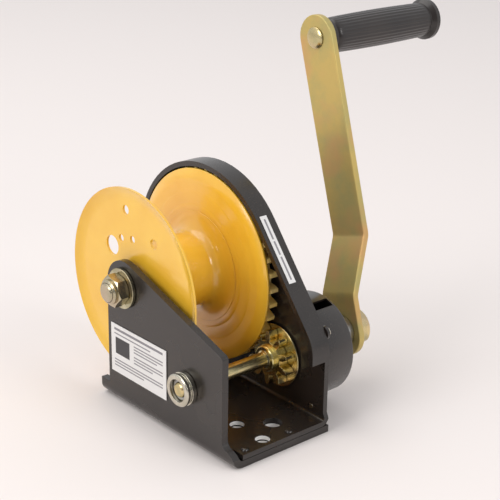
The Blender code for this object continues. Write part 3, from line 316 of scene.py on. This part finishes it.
def hand_over(piece, body, slot, finish, *nodes):
    """Give a piece its finish, its body and the nodes it stands for."""
    piece.data.materials.clear()
    piece.data.materials.append(finish)
    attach(piece, body)
    if nodes:
        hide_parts(*nodes)


side_sheet = fair_copy("side_frame", "side_sheet", SHEET_EDGE)
hand_over(side_sheet, "frame", "black_paint", black_enamel, "side_frame")


# Gear plate.
# Thinner pressed sheet on the other side. Its foot lies on the base sheet and
# its rim is turned in over the gears as a guard, with a soft bend.
gear_sheet = fair_copy("gear_frame", "gear_sheet", 0.9 * MM, 3)
hand_over(gear_sheet, "frame", "black_paint", black_enamel, "gear_frame")


# Brake cover.
# Steel cup drawn deep over the brake, with three ears spot welded to its mouth
# and a drain slot across the top.
cover_cup = fair_copy("brake_cover", "cover_cup", 0.4 * MM)
hand_over(cover_cup, "frame", "black_paint", black_enamel, "brake_cover")


# Walls of the base holes.
# The mounting hole walls are painted near-white, a painted highlight standing in for the light their far
# walls catch. The larger holes get it in the lower sheet only.
BASE_HOLES = ((-9.6, 61.0, 4.9), (-9.6, 36.5, 4.9), (9.6, 49.0, 6.2))
# Near-white diffuse colour: painted highlight on the hole walls.
hole_wall_glare_paint, _, wall_shader = shader_of("hole_wall_painted_glare")
wall_shader.inputs["Base Color"].default_value = (0.95, 0.94, 0.92, 1.0)
wall_shader.inputs["Metallic"].default_value = 0.0
wall_shader.inputs["Roughness"].default_value = 0.45
count = 0
for side in (-1.0, 1.0):
    for x, y, r in BASE_HOLES:
        for z0, z1 in ((0.3, 4.5), (5.5, 8.1)):
            if r > 6.0 and z0 > 5.0:
                continue
            bpy.ops.object.select_all(action="DESELECT")
            place = (x * MM, side * y * MM, 0.5 * (z0 + z1) * MM)
            bpy.ops.mesh.primitive_cylinder_add(
                vertices=64,
                radius=(r - 0.12) * MM,
                depth=(z1 - z0) * MM,
                end_fill_type="NOTHING",
                location=place,
            )
            wall = bpy.context.object
            count += 1
            wall.name = "punched_wall_%d" % count
            bpy.ops.object.transform_apply(location=True, rotation=True, scale=True)
            alone(wall)
            skin = wall.modifiers.new("film", "SOLIDIFY")
            skin.thickness = 0.02 * MM
            bpy.ops.object.modifier_apply(modifier=skin.name)
            bpy.ops.object.shade_smooth_by_angle(angle=math.radians(30.0))
            hand_over(wall, "frame", "black_paint", hole_wall_glare_paint)


# Base rivets.
# Four steel rivets close the two base sheets together at their corners and are
# dipped with them.
for number in range(1, 5):
    rivet = fair_copy("base_rivet_%d" % number, "base_rivet_head_%d" % number, 0.25 * MM)
    hand_over(rivet, "frame", "black_paint", black_enamel, "base_rivet_%d" % number)


# Labels.
# Two stickers of white film, one on the side plate and a narrow one on the
# guard, pressed on by hand.
def box_of(node):
    """Lowest and highest corner of a node's mesh in the shared frame."""
    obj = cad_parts[node]
    spots = [obj.matrix_world @ vert.co for vert in obj.data.vertices]
    low = Vector([min(spot[k] for spot in spots) for k in range(3)])
    high = Vector([max(spot[k] for spot in spots) for k in range(3)])
    return low, high


def printed(name, low, high):
    """Thin flat block of ink between two corners."""
    bpy.ops.object.select_all(action="DESELECT")
    centre = (low + high) / 2.0
    bpy.ops.mesh.primitive_cube_add(size=1.0, location=centre)
    block = bpy.context.object
    block.name = name
    block.scale = high - low
    bpy.ops.object.transform_apply(location=True, rotation=True, scale=True)
    return block


def joined(pieces, name):
    """Join several objects into the first and name it."""
    bpy.ops.object.select_all(action="DESELECT")
    for piece in pieces:
        piece.select_set(True)
    bpy.context.view_layer.objects.active = pieces[0]
    if len(pieces) > 1:
        bpy.ops.object.join()
    pieces[0].name = name
    return pieces[0]


INK = 0.03 * MM
film, _, film_shader = shader_of("label_film")
film_shader.inputs["Base Color"].default_value = (0.78, 0.77, 0.76, 1.0)
film_shader.inputs["Roughness"].default_value = 0.38
ink, _, ink_shader = shader_of("grey_ink")
ink_shader.inputs["Base Color"].default_value = (0.045, 0.043, 0.046, 1.0)
ink_shader.inputs["Roughness"].default_value = 0.5
pale_ink, _, pale_shader = shader_of("pale_ink")
pale_shader.inputs["Base Color"].default_value = (0.24, 0.23, 0.25, 1.0)
pale_shader.inputs["Roughness"].default_value = 0.5

for label in ("side_label", "guard_label"):
    sticker = fair_copy(label, label + "_film", 0.04 * MM)
    hand_over(sticker, "frame", "label_white", film, label)


# Print on the side label.
# Plain bars and one dark block stand for the maker's text. Flat screen-printed
# ink, a few hundredths of a millimetre thick.
low, high = box_of("side_label")
wide = high.y - low.y
tall = high.z - low.z
# Each bar: near and far edge from the rear, then bottom and top, as shares
SIDE_BARS = (
    (0.06, 0.94, 0.88, 0.93),
    (0.06, 0.72, 0.80, 0.825),
    (0.42, 0.94, 0.72, 0.745),
    (0.42, 0.94, 0.66, 0.685),
    (0.42, 0.84, 0.60, 0.625),
    (0.42, 0.94, 0.50, 0.525),
    (0.42, 0.94, 0.44, 0.465),
    (0.42, 0.76, 0.38, 0.405),
    (0.06, 0.94, 0.26, 0.285),
    (0.06, 0.94, 0.20, 0.225),
    (0.06, 0.60, 0.14, 0.165),
)
bars = []
for near, far, foot, head in SIDE_BARS:
    corner = Vector((low.x - INK, high.y - far * wide, low.z + foot * tall))
    across = Vector((low.x + INK, high.y - near * wide, low.z + head * tall))
    bars.append(printed("ink_bar", corner, across))
side_print = joined(bars, "side_print")
hand_over(side_print, "frame", "label_white", pale_ink)
block_low = Vector((low.x - INK, high.y - 0.34 * wide, low.z + 0.40 * tall))
block_high = Vector((low.x + INK, high.y - 0.08 * wide, low.z + 0.74 * tall))
side_block = printed("side_block", block_low, block_high)
hand_over(side_block, "frame", "label_white", ink)


# Print on the guard strip.
# Three short dashes of the same grey ink along the middle of the strip, which
# follows the slant of the guard.
low, high = box_of("guard_label")
middle = (low + high) / 2.0
GUARD_SLANT = 141.0
slant = math.radians(GUARD_SLANT)
outward = Vector((0.0, math.cos(slant), math.sin(slant)))
along = Vector((0.0, -math.sin(slant), math.cos(slant)))
STRIP_HALF = 23.5
# Each dash: start and end along the strip, and its half width, as shares
STRIP_DASHES = ((-0.90, -0.30, 0.24), (-0.24, 0.16, 0.24), (0.22, 0.90, 0.24))
dashes = []
for start, end, share in STRIP_DASHES:
    dash = fair_copy("guard_label", "ink_dash", 0.01 * MM)
    for vert in dash.data.vertices:
        off = vert.co - middle
        run = 0.5 * (start + end) * STRIP_HALF * MM + off.dot(along) * 0.5 * (end - start)
        lift = off.dot(outward) + math.copysign(INK, off.dot(outward))
        vert.co = middle + along * run + outward * lift
        vert.co.x = middle.x + off.x * share
    dashes.append(dash)
strip_print = joined(dashes, "strip_print")
hand_over(strip_print, "frame", "label_white", pale_ink)


# Left flange, and the yellow enamel of the whole drum.
# The drum is pressed and turned from steel, welded up and dipped in enamel like
# the frame's. This flange is a flat disc with a flared rim and five holes.
DRUM_Y = 41.7
DRUM_Z = 85.0
SHAFT_Y = -23.0
SHAFT_Z = 39.02

yellow_enamel = enamel(
    "yellow_enamel",
    (0.93, 0.56, 0.050, 1.0),
    (0.87, 0.48, 0.030, 1.0),
    (0.95, 0.72, 0.40, 1.0),
    0.08,
    (0.18, 0.28),
    0.10,
    0.8,
)


def spun(name, axis, profile, steps=128):
    """Closed profile of (x, radius) in millimetres, turned about a (y, z) axis."""
    bpy.ops.object.select_all(action="DESELECT")
    bpy.ops.mesh.primitive_circle_add(vertices=len(profile), radius=MM, fill_type="NOTHING")
    piece = bpy.context.object
    piece.name = name
    bpy.ops.object.transform_apply(location=True, rotation=True, scale=True)
    for vert, (x, r) in zip(piece.data.vertices, profile):
        vert.co = (x * MM, axis[0] * MM, (axis[1] + r) * MM)
    bpy.ops.object.mode_set(mode="EDIT")
    bpy.ops.mesh.select_all(action="SELECT")
    centre = (0.0, axis[0] * MM, axis[1] * MM)
    bpy.ops.mesh.spin(steps=steps, angle=2.0 * math.pi, center=centre, axis=(1.0, 0.0, 0.0))
    bpy.ops.mesh.select_all(action="SELECT")
    bpy.ops.mesh.remove_doubles(threshold=0.000004)
    bpy.ops.mesh.dissolve_degenerate(threshold=0.000001)
    bpy.ops.mesh.select_all(action="SELECT")
    bpy.ops.mesh.normals_make_consistent(inside=False)
    bpy.ops.object.mode_set(mode="OBJECT")
    alone(piece)
    bpy.ops.object.shade_smooth_by_angle(angle=math.radians(35.0))
    return piece


def drilled(piece, x, spots, depth=4.0):
    """Cut round holes (y, z, radius) through a plate that stands near x."""
    for y, z, r in spots:
        bpy.ops.object.select_all(action="DESELECT")
        place = (x * MM, y * MM, z * MM)
        turn = (0.0, math.radians(90.0), 0.0)
        bpy.ops.mesh.primitive_cylinder_add(
            vertices=64, radius=r * MM, depth=depth * MM, location=place, rotation=turn
        )
        drill = bpy.context.object
        alone(piece)
        cut = piece.modifiers.new("drill", "BOOLEAN")
        cut.operation = "DIFFERENCE"
        cut.solver = "EXACT"
        cut.object = drill
        bpy.ops.object.modifier_apply(modifier=cut.name)
        bpy.data.objects.remove(drill, do_unlink=True)
    return piece


def on_drum(reach, degrees):
    a = math.radians(degrees)
    return DRUM_Y + reach * math.cos(a), DRUM_Z + reach * math.sin(a)


def sheet_profile(path, thick):
    """Both faces of a pressed sheet from the middle line of (x, radius)."""
    near = [(x - thick / 2.0, r) for x, r in path]
    far = [(x + thick / 2.0, r) for x, r in reversed(path)]
    return near + far


def swept(start, end, rows):
    """Soft step between two (x, radius) points, level at both ends."""
    points = []
    for k in range(1, rows + 1):
        u = k / rows
        ease = u * u * (3.0 - 2.0 * u)
        points.append((start[0] + (end[0] - start[0]) * ease, start[1] + (end[1] - start[1]) * u))
    return points


LIP_RISE = 3.0
LIP_BAND = 9.0


def lip_path(x, radius, side):
    """Flare of a flange's outer edge, side telling which way it leans."""
    path = []
    for k in range(9):
        u = k / 8.0
        path.append((x + side * LIP_RISE * u * u, radius - LIP_BAND * (1.0 - u)))
    return path


DRUM_AXIS = (DRUM_Y, DRUM_Z)
LEFT_X = -29.8
LEFT_R = 65.0
LEFT_SHEET = 1.6
BORE_R = 11.3
FLANGE_STEPS = 192
left_path = [(LEFT_X, BORE_R)] + lip_path(LEFT_X, LEFT_R, -1.0)
left_disc = spun("left_flange_disc", DRUM_AXIS, sheet_profile(left_path, LEFT_SHEET), FLANGE_STEPS)
# Each hole: distance and angle from the drum's axis, and radius
HOLES = ((49.3, 79.0, 3.2), (31.8, 39.0, 6.6), (31.4, 62.0, 2.5), (30.1, 85.0, 2.5), (39.0, 121.0, 3.5))
left_spots = [on_drum(reach, degrees) + (r,) for reach, degrees, r in HOLES]
drilled(left_disc, LEFT_X, left_spots)
break_edges(left_disc, 0.35 * MM, 3)
hand_over(left_disc, "drum", "yellow_paint", yellow_enamel, "drum_flange_left")


# Right flange.
# A disc of the same sheet with two shallow rings pressed into it, backed by the
# ring gear.
RIGHT_X = 23.35
RIGHT_R = 66.0
RIGHT_SHEET = 1.3
FIRST_STEP_X = 22.7
SECOND_STEP_X = 23.1
right_path = [(23.0, BORE_R), (FIRST_STEP_X, 38.0)]
right_path += swept((FIRST_STEP_X, 41.0), (SECOND_STEP_X, 43.0), 4)
right_path += swept((SECOND_STEP_X, 49.5), (RIGHT_X, 51.5), 4)
right_path += lip_path(RIGHT_X, RIGHT_R, 0.9)
right_disc = spun("right_flange_disc", DRUM_AXIS, sheet_profile(right_path, RIGHT_SHEET), FLANGE_STEPS)
break_edges(right_disc, 0.3 * MM, 3)
hand_over(right_disc, "drum", "yellow_paint", yellow_enamel, "drum_flange_right")


# Drum core.
# Tube that takes the strap, flared into the right flange by a quarter ellipse
# 9 mm along and 13 mm out, and welded there.
CORE_BORE = 22.6
FLARE_START = 12.6
FLARE_LONG = 9.0
FLARE_HIGH = 13.0
FLARE_R = 38.0
core_profile = [(-28.7, CORE_BORE), (-28.7, 25.6), (-28.0, 25.05), (-27.0, 25.0)]
for k in range(17):
    a = math.radians(90.0 * k / 16.0)
    core_profile.append((FLARE_START + FLARE_LONG * math.sin(a), FLARE_R - FLARE_HIGH * math.cos(a)))
core_profile += [(21.9, FLARE_R + 0.2), (21.9, CORE_BORE)]
core_tube = spun("core_tube", DRUM_AXIS, core_profile)
break_edges(core_tube, 0.15 * MM)
hand_over(core_tube, "drum", "yellow_paint", yellow_enamel, "drum_core")

# Paler copy of the yellow enamel: painted highlight for the ring gear's lit teeth.
gear_lit_enamel = enamel(
    "yellow_enamel_painted_lit",
    (0.96, 0.74, 0.30, 1.0),
    (0.94, 0.62, 0.14, 1.0),
    (0.95, 0.80, 0.50, 1.0),
    0.10,
    (0.20, 0.32),
    0.10,
    0.5,
)


# Ring gear.
# Forty teeth cut on a dished steel wheel. The whole wheel takes a paler copy of the drum's yellow, a
# painted highlight for the light its teeth catch.
gear_wheel = fair_copy("ring_gear", "ring_gear_wheel", 0.28 * MM)
hand_over(gear_wheel, "drum", "yellow_paint", gear_lit_enamel, "ring_gear")


# Gear rivets.
# Six rivets hold the ring gear to the flange. Their tails are ground flush and
# filled, so the flange is smooth toward the strap.
RIVET_TAIL_X = 23.2
for number in range(1, 7):
    node = "gear_rivet_%d" % number
    rivet = fair_copy(node, node + "_head", 0.2 * MM)
    for vert in rivet.data.vertices:
        vert.co.x = max(vert.co.x, RIVET_TAIL_X * MM)
    hand_over(rivet, "drum", "yellow_paint", yellow_enamel, node)


# Axle washers, and the plating of all the bright hardware.
# Stamped washers under the bolt's head and nut. All this steel is zinc plated and
# passivated, so its colour wanders between straw, olive and a faint rose.
def make_plate_skin():
    """Passivated zinc: drifting tint, fine streaks and an uneven polish."""
    tree, way_in, way_out = open_group(
        "plate_skin",
        [
            ("Straw", "NodeSocketColor", (0.6, 0.5, 0.3, 1.0)),
            ("Olive", "NodeSocketColor", (0.4, 0.4, 0.25, 1.0)),
            ("Rose", "NodeSocketColor", (0.6, 0.4, 0.35, 1.0)),
            ("Drift", "NodeSocketFloat", 60.0),
            ("Polish Low", "NodeSocketFloat", 0.2),
            ("Polish High", "NodeSocketFloat", 0.38),
            ("Grain", "NodeSocketFloat", 0.1),
        ],
        [("Color", "NodeSocketColor"), ("Roughness", "NodeSocketFloat"), ("Normal", "NodeSocketVector")],
    )
    place = add_node(tree, "ShaderNodeTexCoord")
    cloud = add_node(tree, "ShaderNodeTexNoise", Detail=4.0, Roughness=0.6)
    wire(tree, place, "Object", cloud, "Vector")
    wire(tree, way_in, "Drift", cloud, "Scale")
    veil = add_node(tree, "ShaderNodeMapRange")
    veil.inputs["From Min"].default_value = 0.38
    veil.inputs["From Max"].default_value = 0.62
    wire(tree, cloud, "Fac", veil, "Value")
    first = add_node(tree, "ShaderNodeMix", data_type="RGBA")
    wire(tree, veil, "Result", first, "Factor")
    wire(tree, way_in, "Straw", first, "A")
    wire(tree, way_in, "Olive", first, "B")
    blush = add_node(tree, "ShaderNodeTexNoise", Scale=34.0, Detail=2.0)
    wire(tree, place, "Object", blush, "Vector")
    patch = add_node(tree, "ShaderNodeMapRange")
    patch.inputs["From Min"].default_value = 0.50
    patch.inputs["From Max"].default_value = 0.72
    wire(tree, blush, "Fac", patch, "Value")
    second = add_node(tree, "ShaderNodeMix", data_type="RGBA")
    wire(tree, patch, "Result", second, "Factor")
    tree.links.new(first.outputs["Result"], second.inputs["A"])
    wire(tree, way_in, "Rose", second, "B")
    tree.links.new(second.outputs["Result"], way_out.inputs["Color"])
    streak = add_node(tree, "ShaderNodeTexNoise", Scale=650.0, Detail=2.0)
    wire(tree, place, "Object", streak, "Vector")
    polish = add_node(tree, "ShaderNodeMapRange")
    wire(tree, streak, "Fac", polish, "Value")
    wire(tree, way_in, "Polish Low", polish, "To Min")
    wire(tree, way_in, "Polish High", polish, "To Max")
    wire(tree, polish, "Result", way_out, "Roughness")
    bump = add_node(tree, "ShaderNodeBump", Distance=0.0001)
    wire(tree, way_in, "Grain", bump, "Strength")
    wire(tree, streak, "Fac", bump, "Height")
    wire(tree, bump, "Normal", way_out, "Normal")
    return tree


plate_skin = make_plate_skin()


def plated(name, straw, olive, rose, drift, polish, grain, metal=1.0):
    """Plated or bare metal; polish is the roughness from low to high."""
    mat, tree, shader = shader_of(name)
    skin = add_node(tree, "ShaderNodeGroup", node_tree=plate_skin)
    skin.inputs["Straw"].default_value = straw
    skin.inputs["Olive"].default_value = olive
    skin.inputs["Rose"].default_value = rose
    skin.inputs["Drift"].default_value = drift
    skin.inputs["Polish Low"].default_value = polish[0]
    skin.inputs["Polish High"].default_value = polish[1]
    skin.inputs["Grain"].default_value = grain
    shader.inputs["Metallic"].default_value = metal
    wire(tree, skin, "Color", shader, "Base Color")
    wire(tree, skin, "Roughness", shader, "Roughness")
    wire(tree, skin, "Normal", shader, "Normal")
    return mat


yellow_zinc = plated(
    "yellow_zinc",
    (0.72, 0.58, 0.30, 1.0),
    (0.50, 0.44, 0.24, 1.0),
    (0.62, 0.44, 0.32, 1.0),
    90.0,
    (0.16, 0.32),
    0.12,
)
olive_zinc = plated(
    "olive_zinc",
    (0.58, 0.54, 0.38, 1.0),
    (0.40, 0.37, 0.24, 1.0),
    (0.52, 0.42, 0.32, 1.0),
    110.0,
    (0.16, 0.30),
    0.12,
)
gold_zinc = plated(
    "gold_zinc",
    (0.88, 0.76, 0.40, 1.0),
    (0.66, 0.56, 0.24, 1.0),
    (0.80, 0.62, 0.38, 1.0),
    120.0,
    (0.14, 0.28),
    0.12,
)

WASHER_T = 2.4
WASHER_R = 13.5
WASHER_BORE = 6.65
for side, x0 in (("left", -42.7), ("right", 40.3)):
    x1 = x0 + WASHER_T
    section = [(x0, WASHER_BORE), (x0, WASHER_R), (x1, WASHER_R), (x1, WASHER_BORE)]
    washer = spun("washer_" + side, DRUM_AXIS, section)
    break_edges(washer, 0.4 * MM, 3)
    hand_over(washer, "frame", "yellow_zinc", olive_zinc, "axle_washer_" + side)


# Drum bolt and nut.
# Half-inch bolt with a hexagon head, closed by a hexagon nut with a round locking
# collar. Cold headed, with chamfered corners.
for node, edge in (("axle_bolt", 0.3), ("axle_nut", 0.35)):
    hardware = fair_copy(node, node + "_fair", edge * MM, 3)
    hand_over(hardware, "frame", "yellow_zinc", olive_zinc, node)


# Input shaft, pinion and pinion disc.
# Turned shaft with a ten-tooth pinion and its collar pressed on, and a thin disc
# that keeps the teeth of the ring gear in line.
for node, edge in (("input_shaft", 0.2), ("pinion", 0.3), ("pinion_disc", 0.15)):
    metal = gold_zinc if node == "pinion" else yellow_zinc
    hardware = fair_copy(node, node + "_fair", edge * MM, 2)
    hand_over(hardware, "shaft", "yellow_zinc", metal, node)


# Bare steel pieces: sleeve, snap ring, brake disc, ratchet, pawl, pin and hub.
# Turned and stamped, then ground and oiled but not plated.
silver_zinc = plated(
    "silver_zinc",
    (0.66, 0.63, 0.54, 1.0),
    (0.48, 0.46, 0.38, 1.0),
    (0.60, 0.55, 0.45, 1.0),
    130.0,
    (0.16, 0.30),
    0.1,
)
bare_steel = plated(
    "bare_steel",
    (0.46, 0.46, 0.46, 1.0),
    (0.36, 0.36, 0.37, 1.0),
    (0.42, 0.40, 0.38, 1.0),
    80.0,
    (0.22, 0.40),
    0.2,
)
bronze = plated(
    "bush_bronze",
    (0.52, 0.36, 0.19, 1.0),
    (0.42, 0.28, 0.15, 1.0),
    (0.48, 0.30, 0.18, 1.0),
    150.0,
    (0.30, 0.46),
    0.3,
)
BARE = {
    "frame": ("axle_sleeve", "pawl_pin"),
    "shaft": ("retaining_ring", "brake_disc", "ratchet_wheel"),
    "crank": ("crank_hub",),
    "pawl": ("pawl",),
}
for body, nodes in BARE.items():
    for node in nodes:
        part = fair_copy(node, node + "_fair", 0.2 * MM)
        hand_over(part, body, "plain_steel", bare_steel, node)


# Bronze bushes.
# Two collared bushes carry the drum on the axle sleeve, and one carries the shaft
# in the gear plate. They are pressed from oil-filled bronze.
for node, body in (("drum_bush_left", "drum"), ("drum_bush_right", "drum"), ("shaft_bush_right", "frame")):
    part = fair_copy(node, node + "_fair", 0.15 * MM)
    hand_over(part, body, "bush_metal", bronze, node)


# End bush.
# Grooved steel bush that carries the free end of the shaft in the side plate.
end_bush = fair_copy("shaft_bush_left", "shaft_end_bush", 0.25 * MM, 3)
hand_over(end_bush, "frame", "silver_zinc", silver_zinc, "shaft_bush_left")


# Pawl spring.
# Two and a half turns of plated wire round the pawl pin.
coil = fair_copy("pawl_spring", "pawl_coil", 0.02 * MM, 1, 60.0)
hand_over(coil, "pawl", "silver_zinc", silver_zinc, "pawl_spring")


# Cover screws.
# Three plated screws with low round heads, one through each ear of the cover.
for number in range(1, 4):
    node = "cover_screw_%d" % number
    screw = fair_copy(node, node + "_fair", 0.15 * MM)
    hand_over(screw, "frame", "silver_zinc", silver_zinc, node)


# Friction linings.
# Two rings moulded from brown fibre and resin, one each side of the ratchet.
lining, _, lining_shader = shader_of("lining_fibre")
lining_shader.inputs["Base Color"].default_value = (0.13, 0.09, 0.065, 1.0)
lining_shader.inputs["Roughness"].default_value = 0.85
for side in ("inner", "outer"):
    pad = fair_copy("brake_lining_" + side, "lining_" + side, 0.15 * MM)
    hand_over(pad, "shaft", "brake_lining", lining, "brake_lining_" + side)


# Crank bar.
# A flat steel bar, rounded at its ends and cranked outward above the brake, with
# a duller and more mottled plating than the turned pieces.
bar_zinc = plated(
    "bar_zinc",
    (0.62, 0.46, 0.15, 1.0),
    (0.50, 0.42, 0.16, 1.0),
    (0.66, 0.40, 0.16, 1.0),
    46.0,
    (0.30, 0.46),
    0.14,
    0.62,
)
bar = fair_copy("crank_arm", "crank_bar", 0.6 * MM, 3)
hand_over(bar, "crank", "yellow_zinc", bar_zinc, "crank_arm")


# Crank nut and grip pin.
# A hexagon nut holds the bar on its hub, and a headed pin riveted through the top
# of the bar carries the grip.
for node, edge in (("crank_nut", 0.35), ("grip_pin", 0.25)):
    part = fair_copy(node, node + "_fair", edge * MM, 3)
    hand_over(part, "crank", "yellow_zinc", yellow_zinc, node)


# Grip.
# Moulded black plastic sleeve with fine ribs along it, a plain collar at the
# bar and a round flange at the free end. It turns on its pin.
CRANK_LEAN = math.radians(16.6)
GRIP_AXIS = (SHAFT_Y + 198.0 * math.sin(CRANK_LEAN), SHAFT_Z + 198.0 * math.cos(CRANK_LEAN))
GRIP_X = 121.3
grip_profile = [(0.0, 6.2), (0.0, 10.1), (0.8, 10.8), (6.0, 10.8), (7.2, 11.7)]
for k in range(25):
    u = k / 24.0
    grip_profile.append((8.5 + 87.0 * u, 12.0 + 0.6 * math.sin(math.pi * u)))
grip_profile += [(97.5, 11.7), (99.4, 13.6), (100.4, 14.5), (103.6, 14.5), (105.0, 13.1)]
grip_profile += [(105.0, 9.0), (100.8, 9.0), (100.8, 6.2)]
handle = spun("handle_grip", GRIP_AXIS, [(GRIP_X + x, r) for x, r in grip_profile], 192)
RIBS = 32
RIB_HIGH = 0.18
rib_low = (GRIP_X + 9.0) * MM
rib_high = (GRIP_X + 95.0) * MM
for vert in handle.data.vertices:
    y = vert.co.y - GRIP_AXIS[0] * MM
    z = vert.co.z - GRIP_AXIS[1] * MM
    reach = math.hypot(y, z)
    if rib_low < vert.co.x < rib_high and reach > 9.0 * MM:
        rise = RIB_HIGH * MM * math.cos(RIBS * math.atan2(z, y))
        vert.co.y += rise * y / reach
        vert.co.z += rise * z / reach
break_edges(handle, 0.25 * MM, 2, 50.0)
grip_plastic = enamel(
    "grip_plastic",
    (0.026, 0.019, 0.016, 1.0),
    (0.015, 0.011, 0.010, 1.0),
    (0.16, 0.13, 0.12, 1.0),
    0.10,
    (0.26, 0.38),
    0.06,
)
hand_over(handle, "grip", "black_grip", grip_plastic, "grip")
